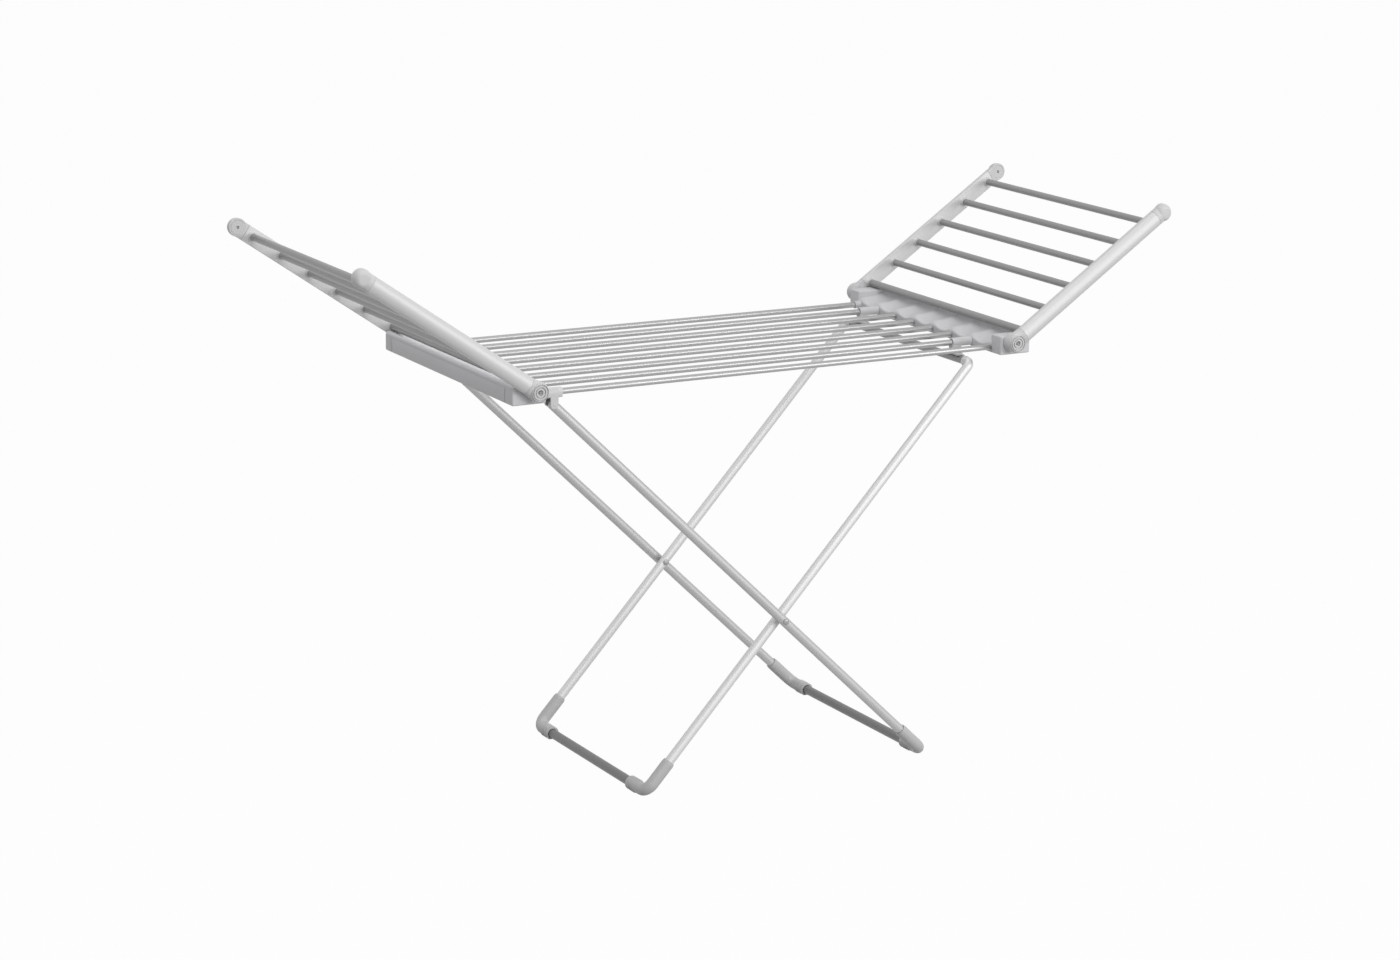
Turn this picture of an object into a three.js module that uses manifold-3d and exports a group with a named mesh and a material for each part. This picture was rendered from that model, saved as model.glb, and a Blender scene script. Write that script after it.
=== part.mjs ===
// A winged, folding, electrically heated clothes airer. Millimetres, +Z up, +X along the deck
// from left to right, front at -Y. The origin lies on the floor under the middle of the deck.
//
// The deck is eight heated rods between two hollow end bars. A ladder-like wing hinges on each
// end bar. Two crossed tubular leg frames carry the deck: the outer one is pinned under the left
// ends of the first and last rod, and the inner one hooks under two rods at the right.
import * as THREE from 'three';
import { mergeVertices } from 'three/addons/utils/BufferGeometryUtils.js';
import Module from 'manifold-3d';

const wasm = await Module();
wasm.setup();

// Clearances
const gap = 0.3;              // between pieces that touch
const runningGap = 0.4;       // round a pin that turns
const overrun = 5;            // how far a cutter runs past what it cuts

// Deck rods
const rodCount = 8;
const rodPitch = 58.8;
const rodRadius = 5;
const rodWall = 0.9;
const rodHeight = 698.6;      // rod axis above the floor
const rodInsertion = 8;       // rod end past the end bar's inner face

// End bars
const barInnerX = 423.6;
const barWidth = 58.6;
const barHeight = 31.8;
const barBelowRod = 8.9;      // from the rod axis down to the bar's underside
const barEndMargin = 32.8;    // from the first rod's axis to the bar's end face
const barWall = 2.5;
const barEndBlockLength = 27; // the block at each end stands up past the cover
const barEdgeRadius = 2.5;
const socketLength = 11.4;
const socketRadius = 6.5;

// End bar covers: low at the deck, with a ridge in line with each rod, and scooped up to a rim
const coverWall = 2.2;
const coverNoseRadius = 1.6;
const coverRimRadius = 5;
const coverBelowTop = 15;     // a ridge's crest at the inner edge, below the rim
const coverRimHeight = 12;    // how much of that the scoop next to the rim takes up
const coverScoopPower = 6;
const ridgeHeight = 4.5;      // from valley to crest at the inner edge
const ridgeRise = 3.2;        // how much higher a ridge gets behind its rounded nose
const ridgeNoseShare = 0.22;  // of the width, over which it rises

// Wing hinges
const hingeX = 444;
const hingeBelowTop = 9.7;    // hinge axis below the end bar's crest
const hingeDepth = 21.4;      // from the bar's end face to the hinge disc's face
const pivotRadius = 5.5;
const pivotBore = 2.5;
const pivotHeadRadius = 7.6;
const pivotHeadLength = 3;
const pivotSeatLength = 6.6;  // the end block's wall between the pivot's head and its disc
const discRadius = 14.4;
const discThickness = 2.8;
const discGrooveDepth = 0.7;
const discGrooveWidth = 1;
const discGrooveRadii = [6, 10.6];
const knuckleRadius = 16;
const knuckleSideGap = 0.6;

// Wings
const wingAngle = THREE.MathUtils.degToRad(34.3);
const rungCount = 6;
const rungPitch = 59.2;
const rungRadius = 5.8;
const firstRungRadius = 6.4;  // the rung next to the hinge is stouter and rests on the end bar
const rungWall = 0.9;
const rungEndLength = 29.2;   // from the hinge axis to the first rung, and from the last to the cap
const railHeight = 27.8;
const railDepth = 17;
const railWall = 1.6;
const railFlat = 5.5;         // flat part of the rail's top and bottom, next to its inner face
const railInset = 5.2;        // from the bar's end face out to the rail's inner face
const spigotLength = 14;
const neckLength = 20;        // from the hinge axis to the rail's end
const capNeckLength = 16;
const capRadius = 15.3;
const capFaceRadius = 7;      // flat part of the cap's outer face, inside its domed edge
const capRingRadii = [10.5];
const capHoleRadius = 2.2;
const capHoleDepth = 6;

// Legs
const legRadius = 8;
const legWall = 1;
const legOutset = 9.2;        // outer leg's axis beyond the first rod's
const legPitch = 19;          // between the axes of an outer and an inner leg
const outerPivotX = -402.9;
const outerPivotDrop = 16.1;  // pivot below the rod axis
const outerFootX = 306.5;
const innerTopX = 392.6;
const innerTopDrop = 26.4;    // cross tube below the rod axis
const innerFootX = -216;
const legBendRadius = 10;
const legMouth = 17;          // from the leg's corner to the mouth that takes the cross tube
const legRimRadius = 8.7;
const legRimLength = 2.5;
const crossTubeRadius = 6.6;
const crossTubeInsertion = 5;
const footTubeRadius = 8;

// Foot elbows
const elbowRadius = 10.5;
const elbowBendRadius = 17;
const elbowLegLength = 62;
const elbowFootLength = 44;
const elbowLegBore = 34;
const elbowFootBore = 22;
const elbowFlat = 0.6;        // how much of the round is planed off where it stands
const elbowRibCount = 4;
const elbowCollarRadius = 11;
const elbowRibInset = 1.5;
const elbowRibHeight = 0.8;
const elbowRibWidth = 2.8;
const elbowRibPitch = 4.4;

// Leg rivets
const rivetRadius = 2.8;
const rivetHeadRadius = 5.4;
const rivetHeadHeight = 2.2;
const rivetSpacerRadius = 5.5;

// Leg brackets and hooks
const barrelRadius = 7.6;
const bracketLength = 42;
const earThickness = 3;
const earRadius = 8;
const saddleLength = 30;
const bracketPinRadius = 3;
const hookLength = 38;
const hookWidth = 40;
const hookWall = 3;
const hookLipAngle = THREE.MathUtils.degToRad(-50);
const hookTopReach = 8;
const hookWebWidth = 12;

// Heating cable, terminal block, inlet and switch
const cableRadius = 1.6;
const cableBend = 8;
const cableTurnLength = 28;   // how far the cable's turns reach into an end bar
const terminalSize = new THREE.Vector3(14, 30, 13);
const terminalGap = 1;
const terminalOffset = 10;    // its middle, towards the deck's middle from the first rod
const inletFromEnd = 88.6;    // from the bar's end face
const inletRadius = 3.6;
const inletCollarRadius = 7.5;
const inletCollarLength = 4;
const switchFromEnd = 133.6;
const switchWidth = 21;
const switchHeight = 13;
const switchDepth = 9;
const switchTravel = THREE.MathUtils.degToRad(14);
const switchEndGap = 0.9;
const switchProud = 2.4;
const switchPinRadius = 1.5;
const switchPinLength = 1.2;
const switchBoxWall = 1.6;

// Facets
const rodSides = 10;
const legSides = 12;
const elbowSides = 10;
const roundSides = 14;
const smallSides = 8;
const bendSteps = 4;
const railCurveSegments = 3;
const edgeCurveSegments = 1.5; // gives three facets to each rounded edge
const coverNoseShares = [0, 1];
const coverMiddleShares = [0.08, 0.22, 0.5, 0.72, 0.88];
const coverRimShares = [1, 0.3, 0];
const coverStationsPerPitch = 3;

// Places that follow from the sizes above
const footHeight = elbowRadius - elbowFlat;
const barBottom = rodHeight - barBelowRod;
const barTop = barBottom + barHeight;
const barOuterX = barInnerX + barWidth;
const barHalfLength = (rodPitch * (rodCount - 1)) / 2 + barEndMargin;
const coverHalfLength = barHalfLength - barEndBlockLength;
const hingeZ = barTop - hingeBelowTop;
const hingeFaceY = barHalfLength + hingeDepth;
const railInnerY = barHalfLength + railInset;
const wingLength = 2 * rungEndLength + (rungCount - 1) * rungPitch;
const outerLegY = barHalfLength - barEndMargin + legOutset;
const innerLegY = outerLegY - legPitch;
const inletY = barHalfLength - inletFromEnd;
const switchY = barHalfLength - switchFromEnd;
const outerPivotZ = rodHeight - outerPivotDrop;
const innerTopZ = rodHeight - innerTopDrop;
const hookRodIndexes = [1, rodCount - 2];
const bracketRodIndexes = [0, rodCount - 1];

const rodY = (index) => rodPitch * ((rodCount - 1) / 2 - index);
const rungX = (index) => rungEndLength + index * rungPitch;
const rungRadiusAt = (index) => (index === 0 ? firstRungRadius : rungRadius);

const material = (color, roughness, metalness) =>
  new THREE.MeshStandardMaterial({ color, roughness, metalness });
const aluminium = material(0xd7d9da, 0.32, 0.9);
const rungMetal = material(0xa4a7a6, 0.45, 0.8);
const darkSteel = material(0x7c7e7a, 0.45, 0.8);
const palePlastic = material(0xc6c8cb, 0.5, 0);
const barPlastic = material(0xb9bcbf, 0.5, 0);
const cableJacket = material(0x8c3b32, 0.6, 0);
const terminalNylon = material(0xe4e0d2, 0.5, 0);
const switchBlack = material(0x2b2c2e, 0.4, 0);
const zinc = material(0xb4b6b8, 0.3, 0.9);

const v3 = (x, y, z) => new THREE.Vector3(x, y, z);

// A faceted bore is drawn round its circle, so that its flats keep the clearance
const boreRadius = (radius, clearance, sides) => (radius + clearance) / Math.cos(Math.PI / sides);

// Joining and cutting
function toSolid(geometry) {
  const bare = geometry.clone();
  bare.deleteAttribute('normal');
  bare.deleteAttribute('uv');
  const merged = mergeVertices(bare);
  return new wasm.Manifold(new wasm.Mesh({
    numProp: 3,
    vertProperties: new Float32Array(merged.attributes.position.array),
    triVerts: new Uint32Array(merged.index.array),
  }));
}

function toGeometry(solid) {
  const mesh = solid.getMesh();
  const geometry = new THREE.BufferGeometry();
  geometry.setAttribute('position', new THREE.BufferAttribute(mesh.vertProperties, 3));
  geometry.setIndex(new THREE.BufferAttribute(mesh.triVerts, 1));
  geometry.computeVertexNormals();
  return geometry;
}

function union(solids) {
  return solids.reduce((whole, next) => whole.add(next));
}

function cut(solid, cutters) {
  return cutters.reduce((rest, cutter) => rest.subtract(cutter), solid);
}

function piece(parent, name, finish, solid) {
  const mesh = new THREE.Mesh(toGeometry(solid), finish);
  mesh.name = name;
  parent.add(mesh);
  return mesh;
}

// Basic forms
function block(low, high) {
  const size = high.clone().sub(low);
  const geometry = new THREE.BoxGeometry(size.x, size.y, size.z);
  geometry.translate(...low.clone().add(high).multiplyScalar(0.5).toArray());
  return toSolid(geometry);
}

function cylinder(from, to, radius, sides = roundSides) {
  const direction = to.clone().sub(from);
  const length = direction.length();
  const geometry = new THREE.CylinderGeometry(radius, radius, length, sides);
  geometry.translate(0, length / 2, 0);
  geometry.applyQuaternion(new THREE.Quaternion().setFromUnitVectors(v3(0, 1, 0), direction.normalize()));
  geometry.translate(...from.toArray());
  return toSolid(geometry);
}

// An outline in X and Z, drawn out along Y
function prismAlongY(shape, fromY, toY, curveSegments) {
  const depth = toY - fromY;
  const geometry = new THREE.ExtrudeGeometry(shape, { depth, bevelEnabled: false, curveSegments });
  geometry.rotateX(Math.PI / 2);
  geometry.translate(0, toY, 0);
  return toSolid(geometry);
}

// An outline in Y and Z, drawn out along X
function prismAlongX(shape, fromX, toX, curveSegments) {
  const depth = toX - fromX;
  const geometry = new THREE.ExtrudeGeometry(shape, { depth, bevelEnabled: false, curveSegments });
  geometry.applyMatrix4(new THREE.Matrix4().makeBasis(v3(0, 1, 0), v3(0, 0, 1), v3(1, 0, 0)));
  geometry.translate(fromX, 0, 0);
  return toSolid(geometry);
}

// A closed profile of [radius, distance] pairs, turned about a line along Y
function turnedAlongY(profile, sides = roundSides) {
  const closed = [...profile, profile[0]].map(([radius, distance]) => new THREE.Vector2(radius, distance));
  return toSolid(new THREE.LatheGeometry(closed, sides));
}

function circle(radius, sides) {
  return Array.from({ length: sides }, (_, i) => {
    const angle = (2 * Math.PI * i) / sides;
    return new THREE.Vector2(radius * Math.cos(angle), radius * Math.sin(angle));
  });
}

// A route is a list of stations, each a point and a heading: the ends of each straight and a few
// steps round each bend
class Route extends THREE.Curve {
  constructor(stations) {
    super();
    this.stations = stations;
  }

  station(share) {
    return this.stations[Math.round(share * (this.stations.length - 1))];
  }

  getPointAt(share, target = v3()) {
    return target.copy(this.station(share).point);
  }

  getTangentAt(share, target = v3()) {
    return target.copy(this.station(share).heading);
  }
}

function routeThrough(corners, bendRadius, steps = bendSteps) {
  const heading = (i) => corners[i + 1].clone().sub(corners[i]).normalize();
  const stations = [{ point: corners[0].clone(), heading: heading(0) }];
  for (let i = 1; i < corners.length - 1; i += 1) {
    const before = heading(i - 1);
    const after = heading(i);
    const turn = before.angleTo(after);
    const start = corners[i].clone().addScaledVector(before, -bendRadius * Math.tan(turn / 2));
    const inward = after.clone().addScaledVector(before, -Math.cos(turn)).normalize();
    for (let step = 0; step <= steps; step += 1) {
      const angle = (turn * step) / steps;
      const point = start.clone()
        .addScaledVector(before, bendRadius * Math.sin(angle))
        .addScaledVector(inward, bendRadius * (1 - Math.cos(angle)));
      const along = before.clone().multiplyScalar(Math.cos(angle)).addScaledVector(inward, Math.sin(angle));
      stations.push({ point, heading: along });
    }
  }
  stations.push({ point: corners[corners.length - 1].clone(), heading: heading(corners.length - 2) });
  return new Route(stations);
}

// A round bar along a route, hollow where an inner radius is given
function sweep(route, radius, innerRadius, sides) {
  const shape = new THREE.Shape(circle(radius, sides));
  if (innerRadius > 0) shape.holes.push(new THREE.Path(circle(innerRadius, sides)));
  const steps = route.stations.length - 1;
  return toSolid(new THREE.ExtrudeGeometry(shape, { steps, extrudePath: route }));
}

function straightTube(from, to, radius, wall, sides) {
  return sweep(routeThrough([from, to], 0), radius, radius - wall, sides);
}

// A rectangle in X and Z with its two upper or two lower corners rounded
function roundedSection(low, high, radii) {
  const shape = new THREE.Shape();
  const [lowerLeft, lowerRight, upperRight, upperLeft] = radii;
  shape.moveTo(low.x + lowerLeft, low.z);
  shape.lineTo(high.x - lowerRight, low.z);
  if (lowerRight) shape.absarc(high.x - lowerRight, low.z + lowerRight, lowerRight, -Math.PI / 2, 0);
  shape.lineTo(high.x, high.z - upperRight);
  if (upperRight) shape.absarc(high.x - upperRight, high.z - upperRight, upperRight, 0, Math.PI / 2);
  shape.lineTo(low.x + upperLeft, high.z);
  if (upperLeft) shape.absarc(low.x + upperLeft, high.z - upperLeft, upperLeft, Math.PI / 2, Math.PI);
  shape.lineTo(low.x, low.z + lowerLeft);
  if (lowerLeft) shape.absarc(low.x + lowerLeft, low.z + lowerLeft, lowerLeft, Math.PI, 1.5 * Math.PI);
  return shape;
}

// A closed slab between two surfaces, each a height over a grid of X and Y
function slab(xs, ys, bottomAt, topAt) {
  const surface = (heightAt) => xs.flatMap((x) => ys.flatMap((y) => [x, y, heightAt(x, y)]));
  const lower = (i, j) => i * ys.length + j;
  const upper = (i, j) => (xs.length + i) * ys.length + j;
  const triangles = [];
  const quad = (a, b, c, d) => triangles.push(a, b, c, a, c, d);
  const lastI = xs.length - 1;
  const lastJ = ys.length - 1;
  for (let i = 0; i < lastI; i += 1) {
    for (let j = 0; j < lastJ; j += 1) {
      quad(upper(i, j), upper(i + 1, j), upper(i + 1, j + 1), upper(i, j + 1));
      quad(lower(i, j), lower(i, j + 1), lower(i + 1, j + 1), lower(i + 1, j));
    }
    quad(lower(i, 0), lower(i + 1, 0), upper(i + 1, 0), upper(i, 0));
    quad(lower(i + 1, lastJ), lower(i, lastJ), upper(i, lastJ), upper(i + 1, lastJ));
  }
  for (let j = 0; j < lastJ; j += 1) {
    quad(lower(0, j + 1), lower(0, j), upper(0, j), upper(0, j + 1));
    quad(lower(lastI, j), lower(lastI, j + 1), upper(lastI, j + 1), upper(lastI, j));
  }
  return new wasm.Manifold(new wasm.Mesh({
    numProp: 3,
    vertProperties: new Float32Array([...surface(bottomAt), ...surface(topAt)]),
    triVerts: new Uint32Array(triangles),
  }));
}

// How far a rounded edge drops at a distance in from its outermost line
function edgeDrop(distance, radius) {
  const fromCentre = radius - THREE.MathUtils.clamp(distance, 0, radius);
  return radius - Math.sqrt(radius * radius - fromCentre * fromCentre);
}

// The cover's form: a slow slope and a steep scoop up to the rim, with valleys between the rods
function coverFormAt(x, y) {
  const across = THREE.MathUtils.clamp((x - barInnerX) / (barWidth - coverRimRadius), 0, 1);
  const slope = (coverBelowTop - coverRimHeight) * across;
  const crest = barTop - coverBelowTop + slope + coverRimHeight * across ** coverScoopPower;
  const wave = (1 - Math.cos((2 * Math.PI * (y - rodY(0))) / rodPitch)) / 2;
  const valley = ridgeHeight * (1 - across * across) * wave;
  const beforeNoseTop = 1 - Math.min(across / ridgeNoseShare, 1);
  const ridge = ridgeRise * (1 - beforeNoseTop * beforeNoseTop) * (1 - across * across) * (1 - wave);
  return crest + ridge - valley - edgeDrop(barOuterX - x, coverRimRadius);
}

function coverStations() {
  const middleWidth = barWidth - coverNoseRadius - coverRimRadius;
  const xs = [
    ...coverNoseShares.map((share) => barInnerX + share * coverNoseRadius),
    ...coverMiddleShares.map((share) => barInnerX + coverNoseRadius + share * middleWidth),
    ...coverRimShares.map((share) => barOuterX - share * coverRimRadius),
  ];
  const ys = Array.from({ length: coverStationsPerPitch * (rodCount - 1) + 1 },
    (_, step) => rodY(rodCount - 1) + (step * rodPitch) / coverStationsPerPitch);
  return { xs, ys };
}

function endCover() {
  const { xs, ys } = coverStations();
  const reach = coverHalfLength - gap;
  return slab(xs, [-reach, ...ys, reach], (x, y) => coverFormAt(x, y) - coverWall,
    (x, y) => coverFormAt(x, y) - edgeDrop(x - barInnerX, coverNoseRadius));
}

// The room that the cover takes out of the base, with a gap under it and round it
function coverRoom() {
  const { xs, ys } = coverStations();
  const wide = [barInnerX - gap, ...xs, barOuterX + overrun];
  return slab(wide, [-coverHalfLength, ...ys, coverHalfLength],
    (x, y) => coverFormAt(x, y) - coverWall - gap, () => barTop + overrun);
}

// End bar base: a hollow bar with rod sockets on its inner wall, open on top between its end blocks
function endBase({ socketRods, hasSwitch }) {
  const radii = [barEdgeRadius, barEdgeRadius, coverRimRadius, coverNoseRadius];
  const section = roundedSection(v3(barInnerX, 0, barBottom), v3(barOuterX, 0, barTop), radii);
  const parts = [prismAlongY(section, -barHalfLength, barHalfLength, edgeCurveSegments)];
  for (const index of socketRods) {
    parts.push(cylinder(v3(barInnerX - socketLength, rodY(index), rodHeight),
      v3(barInnerX + barWall, rodY(index), rodHeight), socketRadius, legSides));
  }
  const hollow = (fromY, toY, top) => block(v3(barInnerX + barWall, fromY, barBottom + barWall),
    v3(barOuterX - barWall, toY, top));
  const reach = barHalfLength - pivotSeatLength;
  const holes = [coverRoom(), hollow(-reach, reach, rodHeight),
    hollow(-coverHalfLength, coverHalfLength, barTop)];
  const rodBore = boreRadius(rodRadius, gap, rodSides);
  for (let index = 0; index < rodCount; index += 1) {
    const y = rodY(index);
    holes.push(cylinder(v3(barInnerX - socketLength - overrun, y, rodHeight),
      v3(barInnerX + barWall + overrun, y, rodHeight), rodBore, rodSides));
    holes.push(block(v3(barInnerX - gap, y - rodBore, rodHeight),
      v3(barInnerX + barWall + overrun, y + rodBore, barTop)));
  }
  for (const sign of [-1, 1]) {
    const pocket = [sign * (coverHalfLength + barWall), sign * reach];
    holes.push(hollow(Math.min(...pocket), Math.max(...pocket), barTop - barWall));
    const inside = v3(hingeX, pocket[0], hingeZ);
    holes.push(cylinder(inside, v3(hingeX, sign * (barHalfLength + overrun), hingeZ),
      boreRadius(pivotRadius, gap, legSides), legSides));
    holes.push(cylinder(inside, v3(hingeX, pocket[1], hingeZ),
      boreRadius(pivotHeadRadius, gap, legSides), legSides));
  }
  const base = cut(union(parts), holes);
  return hasSwitch ? withInletAndSwitch(base) : base;
}

// The cord inlet is a round collar, and the switch sits in a box behind the outer wall
function withInletAndSwitch(base) {
  const inletZ = rodHeight;
  const innerWallX = barOuterX - barWall;
  const collar = cylinder(v3(innerWallX, inletY, inletZ), v3(barOuterX + inletCollarLength, inletY, inletZ),
    inletCollarRadius, legSides);
  const bore = cylinder(v3(innerWallX - overrun, inletY, inletZ),
    v3(barOuterX + inletCollarLength + overrun, inletY, inletZ), inletRadius, rodSides);
  const half = v3(0, switchWidth / 2 + gap, switchHeight / 2 + gap);
  const centre = v3(barOuterX, switchY, rodHeight);
  const boxLow = centre.clone().sub(half).sub(v3(switchDepth, switchBoxWall, switchBoxWall));
  const boxHigh = centre.clone().add(half).add(v3(0, switchBoxWall, switchBoxWall));
  const hollowLow = centre.clone().sub(half).sub(v3(switchDepth + overrun, 0, 0));
  const hollowHigh = centre.clone().add(half).add(v3(overrun, 0, 0));
  const pinReach = switchHeight / 2 + switchPinLength + gap;
  const pinX = barOuterX - switchDepth / 2;
  const pinHoles = cylinder(v3(pinX, switchY, rodHeight - pinReach), v3(pinX, switchY, rodHeight + pinReach),
    boreRadius(switchPinRadius, gap, smallSides), smallSides);
  return cut(union([base, collar, block(boxLow, boxHigh)]), [bore, block(hollowLow, hollowHigh), pinHoles]);
}

// Wing pivot: a hollow flanged pin with ring grooves on its face
function wingPivot(sign) {
  const from = barHalfLength - pivotSeatLength - gap;
  const discBack = hingeFaceY - discThickness;
  const face = hingeFaceY;
  const profile = [
    [pivotBore, from - pivotHeadLength], [pivotHeadRadius, from - pivotHeadLength], [pivotHeadRadius, from],
    [pivotRadius, from], [pivotRadius, discBack], [discRadius, discBack], [discRadius, face],
  ];
  for (const radius of [...discGrooveRadii].reverse()) {
    profile.push([radius + discGrooveWidth, face], [radius + discGrooveWidth / 2, face - discGrooveDepth]);
    profile.push([radius, face]);
  }
  profile.push([pivotBore, face]);
  const solid = turnedAlongY(profile);
  return (sign > 0 ? solid : solid.mirror([0, 1, 0])).translate([hingeX, 0, hingeZ]);
}

// Wing rail section in Y and Z: flat inside, rounded outside
function railSection(inset) {
  const half = railHeight / 2 - inset;
  const shape = new THREE.Shape();
  const inner = railInnerY + inset;
  const bend = railInnerY + railFlat;
  shape.moveTo(inner, -half);
  shape.lineTo(bend, -half);
  shape.absellipse(bend, 0, railDepth - railFlat - inset, half, -Math.PI / 2, Math.PI / 2);
  shape.lineTo(inner, half);
  shape.closePath();
  return shape;
}

function mirrored(solid, sign) {
  return sign > 0 ? solid : solid.mirror([0, 1, 0]);
}

function wingRail(sign) {
  const start = neckLength + gap;
  const end = wingLength - capNeckLength - gap;
  let rail = prismAlongX(railSection(0), start, end, railCurveSegments)
    .subtract(prismAlongX(railSection(railWall), start - overrun, end + overrun, railCurveSegments));
  for (let index = 0; index < rungCount; index += 1) {
    const x = rungX(index);
    const radius = boreRadius(rungRadiusAt(index), gap, rodSides);
    rail = rail.subtract(cylinder(v3(x, railInnerY - overrun, 0), v3(x, railInnerY + railWall + gap, 0),
      radius, rodSides));
  }
  return mirrored(rail, sign);
}

function knuckle(sign) {
  const inner = barHalfLength + knuckleSideGap;
  const outer = hingeFaceY - discThickness - gap;
  const drum = cylinder(v3(0, inner, 0), v3(0, outer, 0), knuckleRadius);
  const neck = prismAlongX(railSection(0), 0, neckLength, railCurveSegments);
  const spigot = prismAlongX(railSection(railWall + gap), 0, neckLength + spigotLength, railCurveSegments);
  const bore = cylinder(v3(0, inner - overrun, 0), v3(0, outer + overrun, 0),
    boreRadius(pivotRadius, runningGap, legSides), legSides);
  const discSeat = cylinder(v3(0, outer, 0), v3(0, hingeFaceY + overrun, 0), discRadius + runningGap);
  return mirrored(cut(union([drum, neck, spigot]), [bore, discSeat]), sign);
}

// Outer wing cap: a drum domed like the rail, with a ring groove and a blind hole on its inner side
function outerCap(sign) {
  const inner = railInnerY;
  const profile = [[0, inner + capHoleDepth], [capHoleRadius, inner + capHoleDepth], [capHoleRadius, inner]];
  for (const radius of capRingRadii) {
    profile.push([radius, inner], [radius + discGrooveWidth / 2, inner + discGrooveDepth]);
    profile.push([radius + discGrooveWidth, inner]);
  }
  profile.push([capRadius, inner]);
  const edgeSteps = 3;
  for (let step = 0; step <= edgeSteps; step += 1) {
    const angle = (Math.PI / 2) * (step / edgeSteps);
    const radius = capFaceRadius + (capRadius - capFaceRadius) * Math.cos(angle);
    profile.push([radius, inner + railFlat + (railDepth - railFlat) * Math.sin(angle)]);
  }
  profile.push([0, inner + railDepth]);
  const drum = turnedAlongY(profile).translate([wingLength, 0, 0]);
  const neck = prismAlongX(railSection(0), wingLength - capNeckLength, wingLength, railCurveSegments);
  const spigotStart = wingLength - capNeckLength - spigotLength;
  const spigot = prismAlongX(railSection(railWall + gap), spigotStart, wingLength, railCurveSegments);
  const hole = cylinder(v3(wingLength, 0, 0), v3(wingLength, inner + capHoleDepth, 0), capHoleRadius);
  return mirrored(cut(union([neck, spigot, drum]), [hole]), sign);
}

function rung(index) {
  const reach = railInnerY + railWall - gap;
  const x = rungX(index);
  return straightTube(v3(x, -reach, 0), v3(x, reach, 0), rungRadiusAt(index), rungWall, rodSides);
}

// Leg bracket: a barrel round the rod with a clevis below, its pin moulded in
function legBracket(y, legY) {
  const sign = Math.sign(y);
  const barEnd = barInnerX - gap;
  const pivotX = -outerPivotX;
  const barrelStart = v3(barEnd - bracketLength, y, rodHeight);
  const barrel = cylinder(barrelStart, v3(barEnd, y, rodHeight), barrelRadius, legSides);
  const innerEar = legY - sign * (legRadius + runningGap);
  const outerEar = legY + sign * (legRadius + runningGap);
  const earEnds = [[innerEar - sign * earThickness, innerEar], [outerEar, outerEar + sign * earThickness]];
  const saddleBottom = rodHeight - barrelRadius;
  const saddleTop = rodHeight + barrelRadius;
  const saddleLow = v3(pivotX - saddleLength / 2, Math.min(earEnds[0][0], earEnds[1][1]), saddleBottom);
  const saddleHigh = v3(pivotX + saddleLength / 2, Math.max(earEnds[0][0], earEnds[1][1]), saddleTop);
  const saddleShape = roundedSection(saddleLow, saddleHigh, [0, 0, earRadius / 2, earRadius / 2]);
  const parts = [barrel, prismAlongY(saddleShape, saddleLow.y, saddleHigh.y, 2)];
  const ear = new THREE.Shape();
  ear.moveTo(pivotX - earRadius, outerPivotZ);
  ear.absarc(pivotX, outerPivotZ, earRadius, Math.PI, 2 * Math.PI);
  ear.lineTo(pivotX + saddleLength / 2, saddleBottom + gap);
  ear.lineTo(pivotX - saddleLength / 2, saddleBottom + gap);
  for (const ends of earEnds) {
    parts.push(prismAlongY(ear, Math.min(...ends), Math.max(...ends), 4));
  }
  parts.push(cylinder(v3(pivotX, earEnds[0][0], outerPivotZ), v3(pivotX, earEnds[1][1], outerPivotZ),
    bracketPinRadius, smallSides));
  const boreStart = barrelStart.clone().sub(v3(overrun, 0, 0));
  const bore = cylinder(boreStart, v3(barEnd + overrun, y, rodHeight), boreRadius(rodRadius, gap, rodSides), rodSides);
  return cut(union(parts), [bore]);
}

// Leg hook: a barrel round the rod, and under it a shell that is open towards the deck's middle
function legHook(y) {
  const barEnd = barInnerX - gap;
  const inner = crossTubeRadius + runningGap;
  const outer = inner + hookWall;
  const barrelStart = v3(barEnd - hookLength, y, rodHeight);
  const barrel = cylinder(barrelStart, v3(barEnd, y, rodHeight), barrelRadius, legSides);
  const shell = new THREE.Shape();
  shell.moveTo(innerTopX + inner * Math.cos(hookLipAngle), innerTopZ + inner * Math.sin(hookLipAngle));
  shell.absarc(innerTopX, innerTopZ, inner, hookLipAngle, Math.PI / 2);
  shell.lineTo(innerTopX - hookTopReach, innerTopZ + inner);
  shell.lineTo(innerTopX - hookTopReach, innerTopZ + outer);
  shell.absarc(innerTopX, innerTopZ, outer, Math.PI / 2, hookLipAngle, true);
  const webLow = v3(innerTopX - hookTopReach, y - hookWebWidth / 2, innerTopZ + inner + gap);
  const webHigh = v3(innerTopX + outer, y + hookWebWidth / 2, rodHeight);
  const bore = cylinder(v3(webLow.x - overrun, y, rodHeight), v3(barEnd + overrun, y, rodHeight),
    boreRadius(rodRadius, gap, rodSides), rodSides);
  const shellSolid = prismAlongY(shell, y - hookWidth / 2, y + hookWidth / 2, 6);
  return cut(union([barrel, shellSolid, block(webLow, webHigh)]), [bore]);
}

// Everything below the floor, seen from a frame's own axes
function belowFloor(frame) {
  frame.updateMatrix();
  const span = 2 * (barOuterX + wingLength);
  const geometry = new THREE.BoxGeometry(span, span, elbowRadius);
  geometry.translate(0, 0, -elbowRadius / 2);
  geometry.applyMatrix4(frame.matrix.clone().invert());
  return toSolid(geometry);
}

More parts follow.
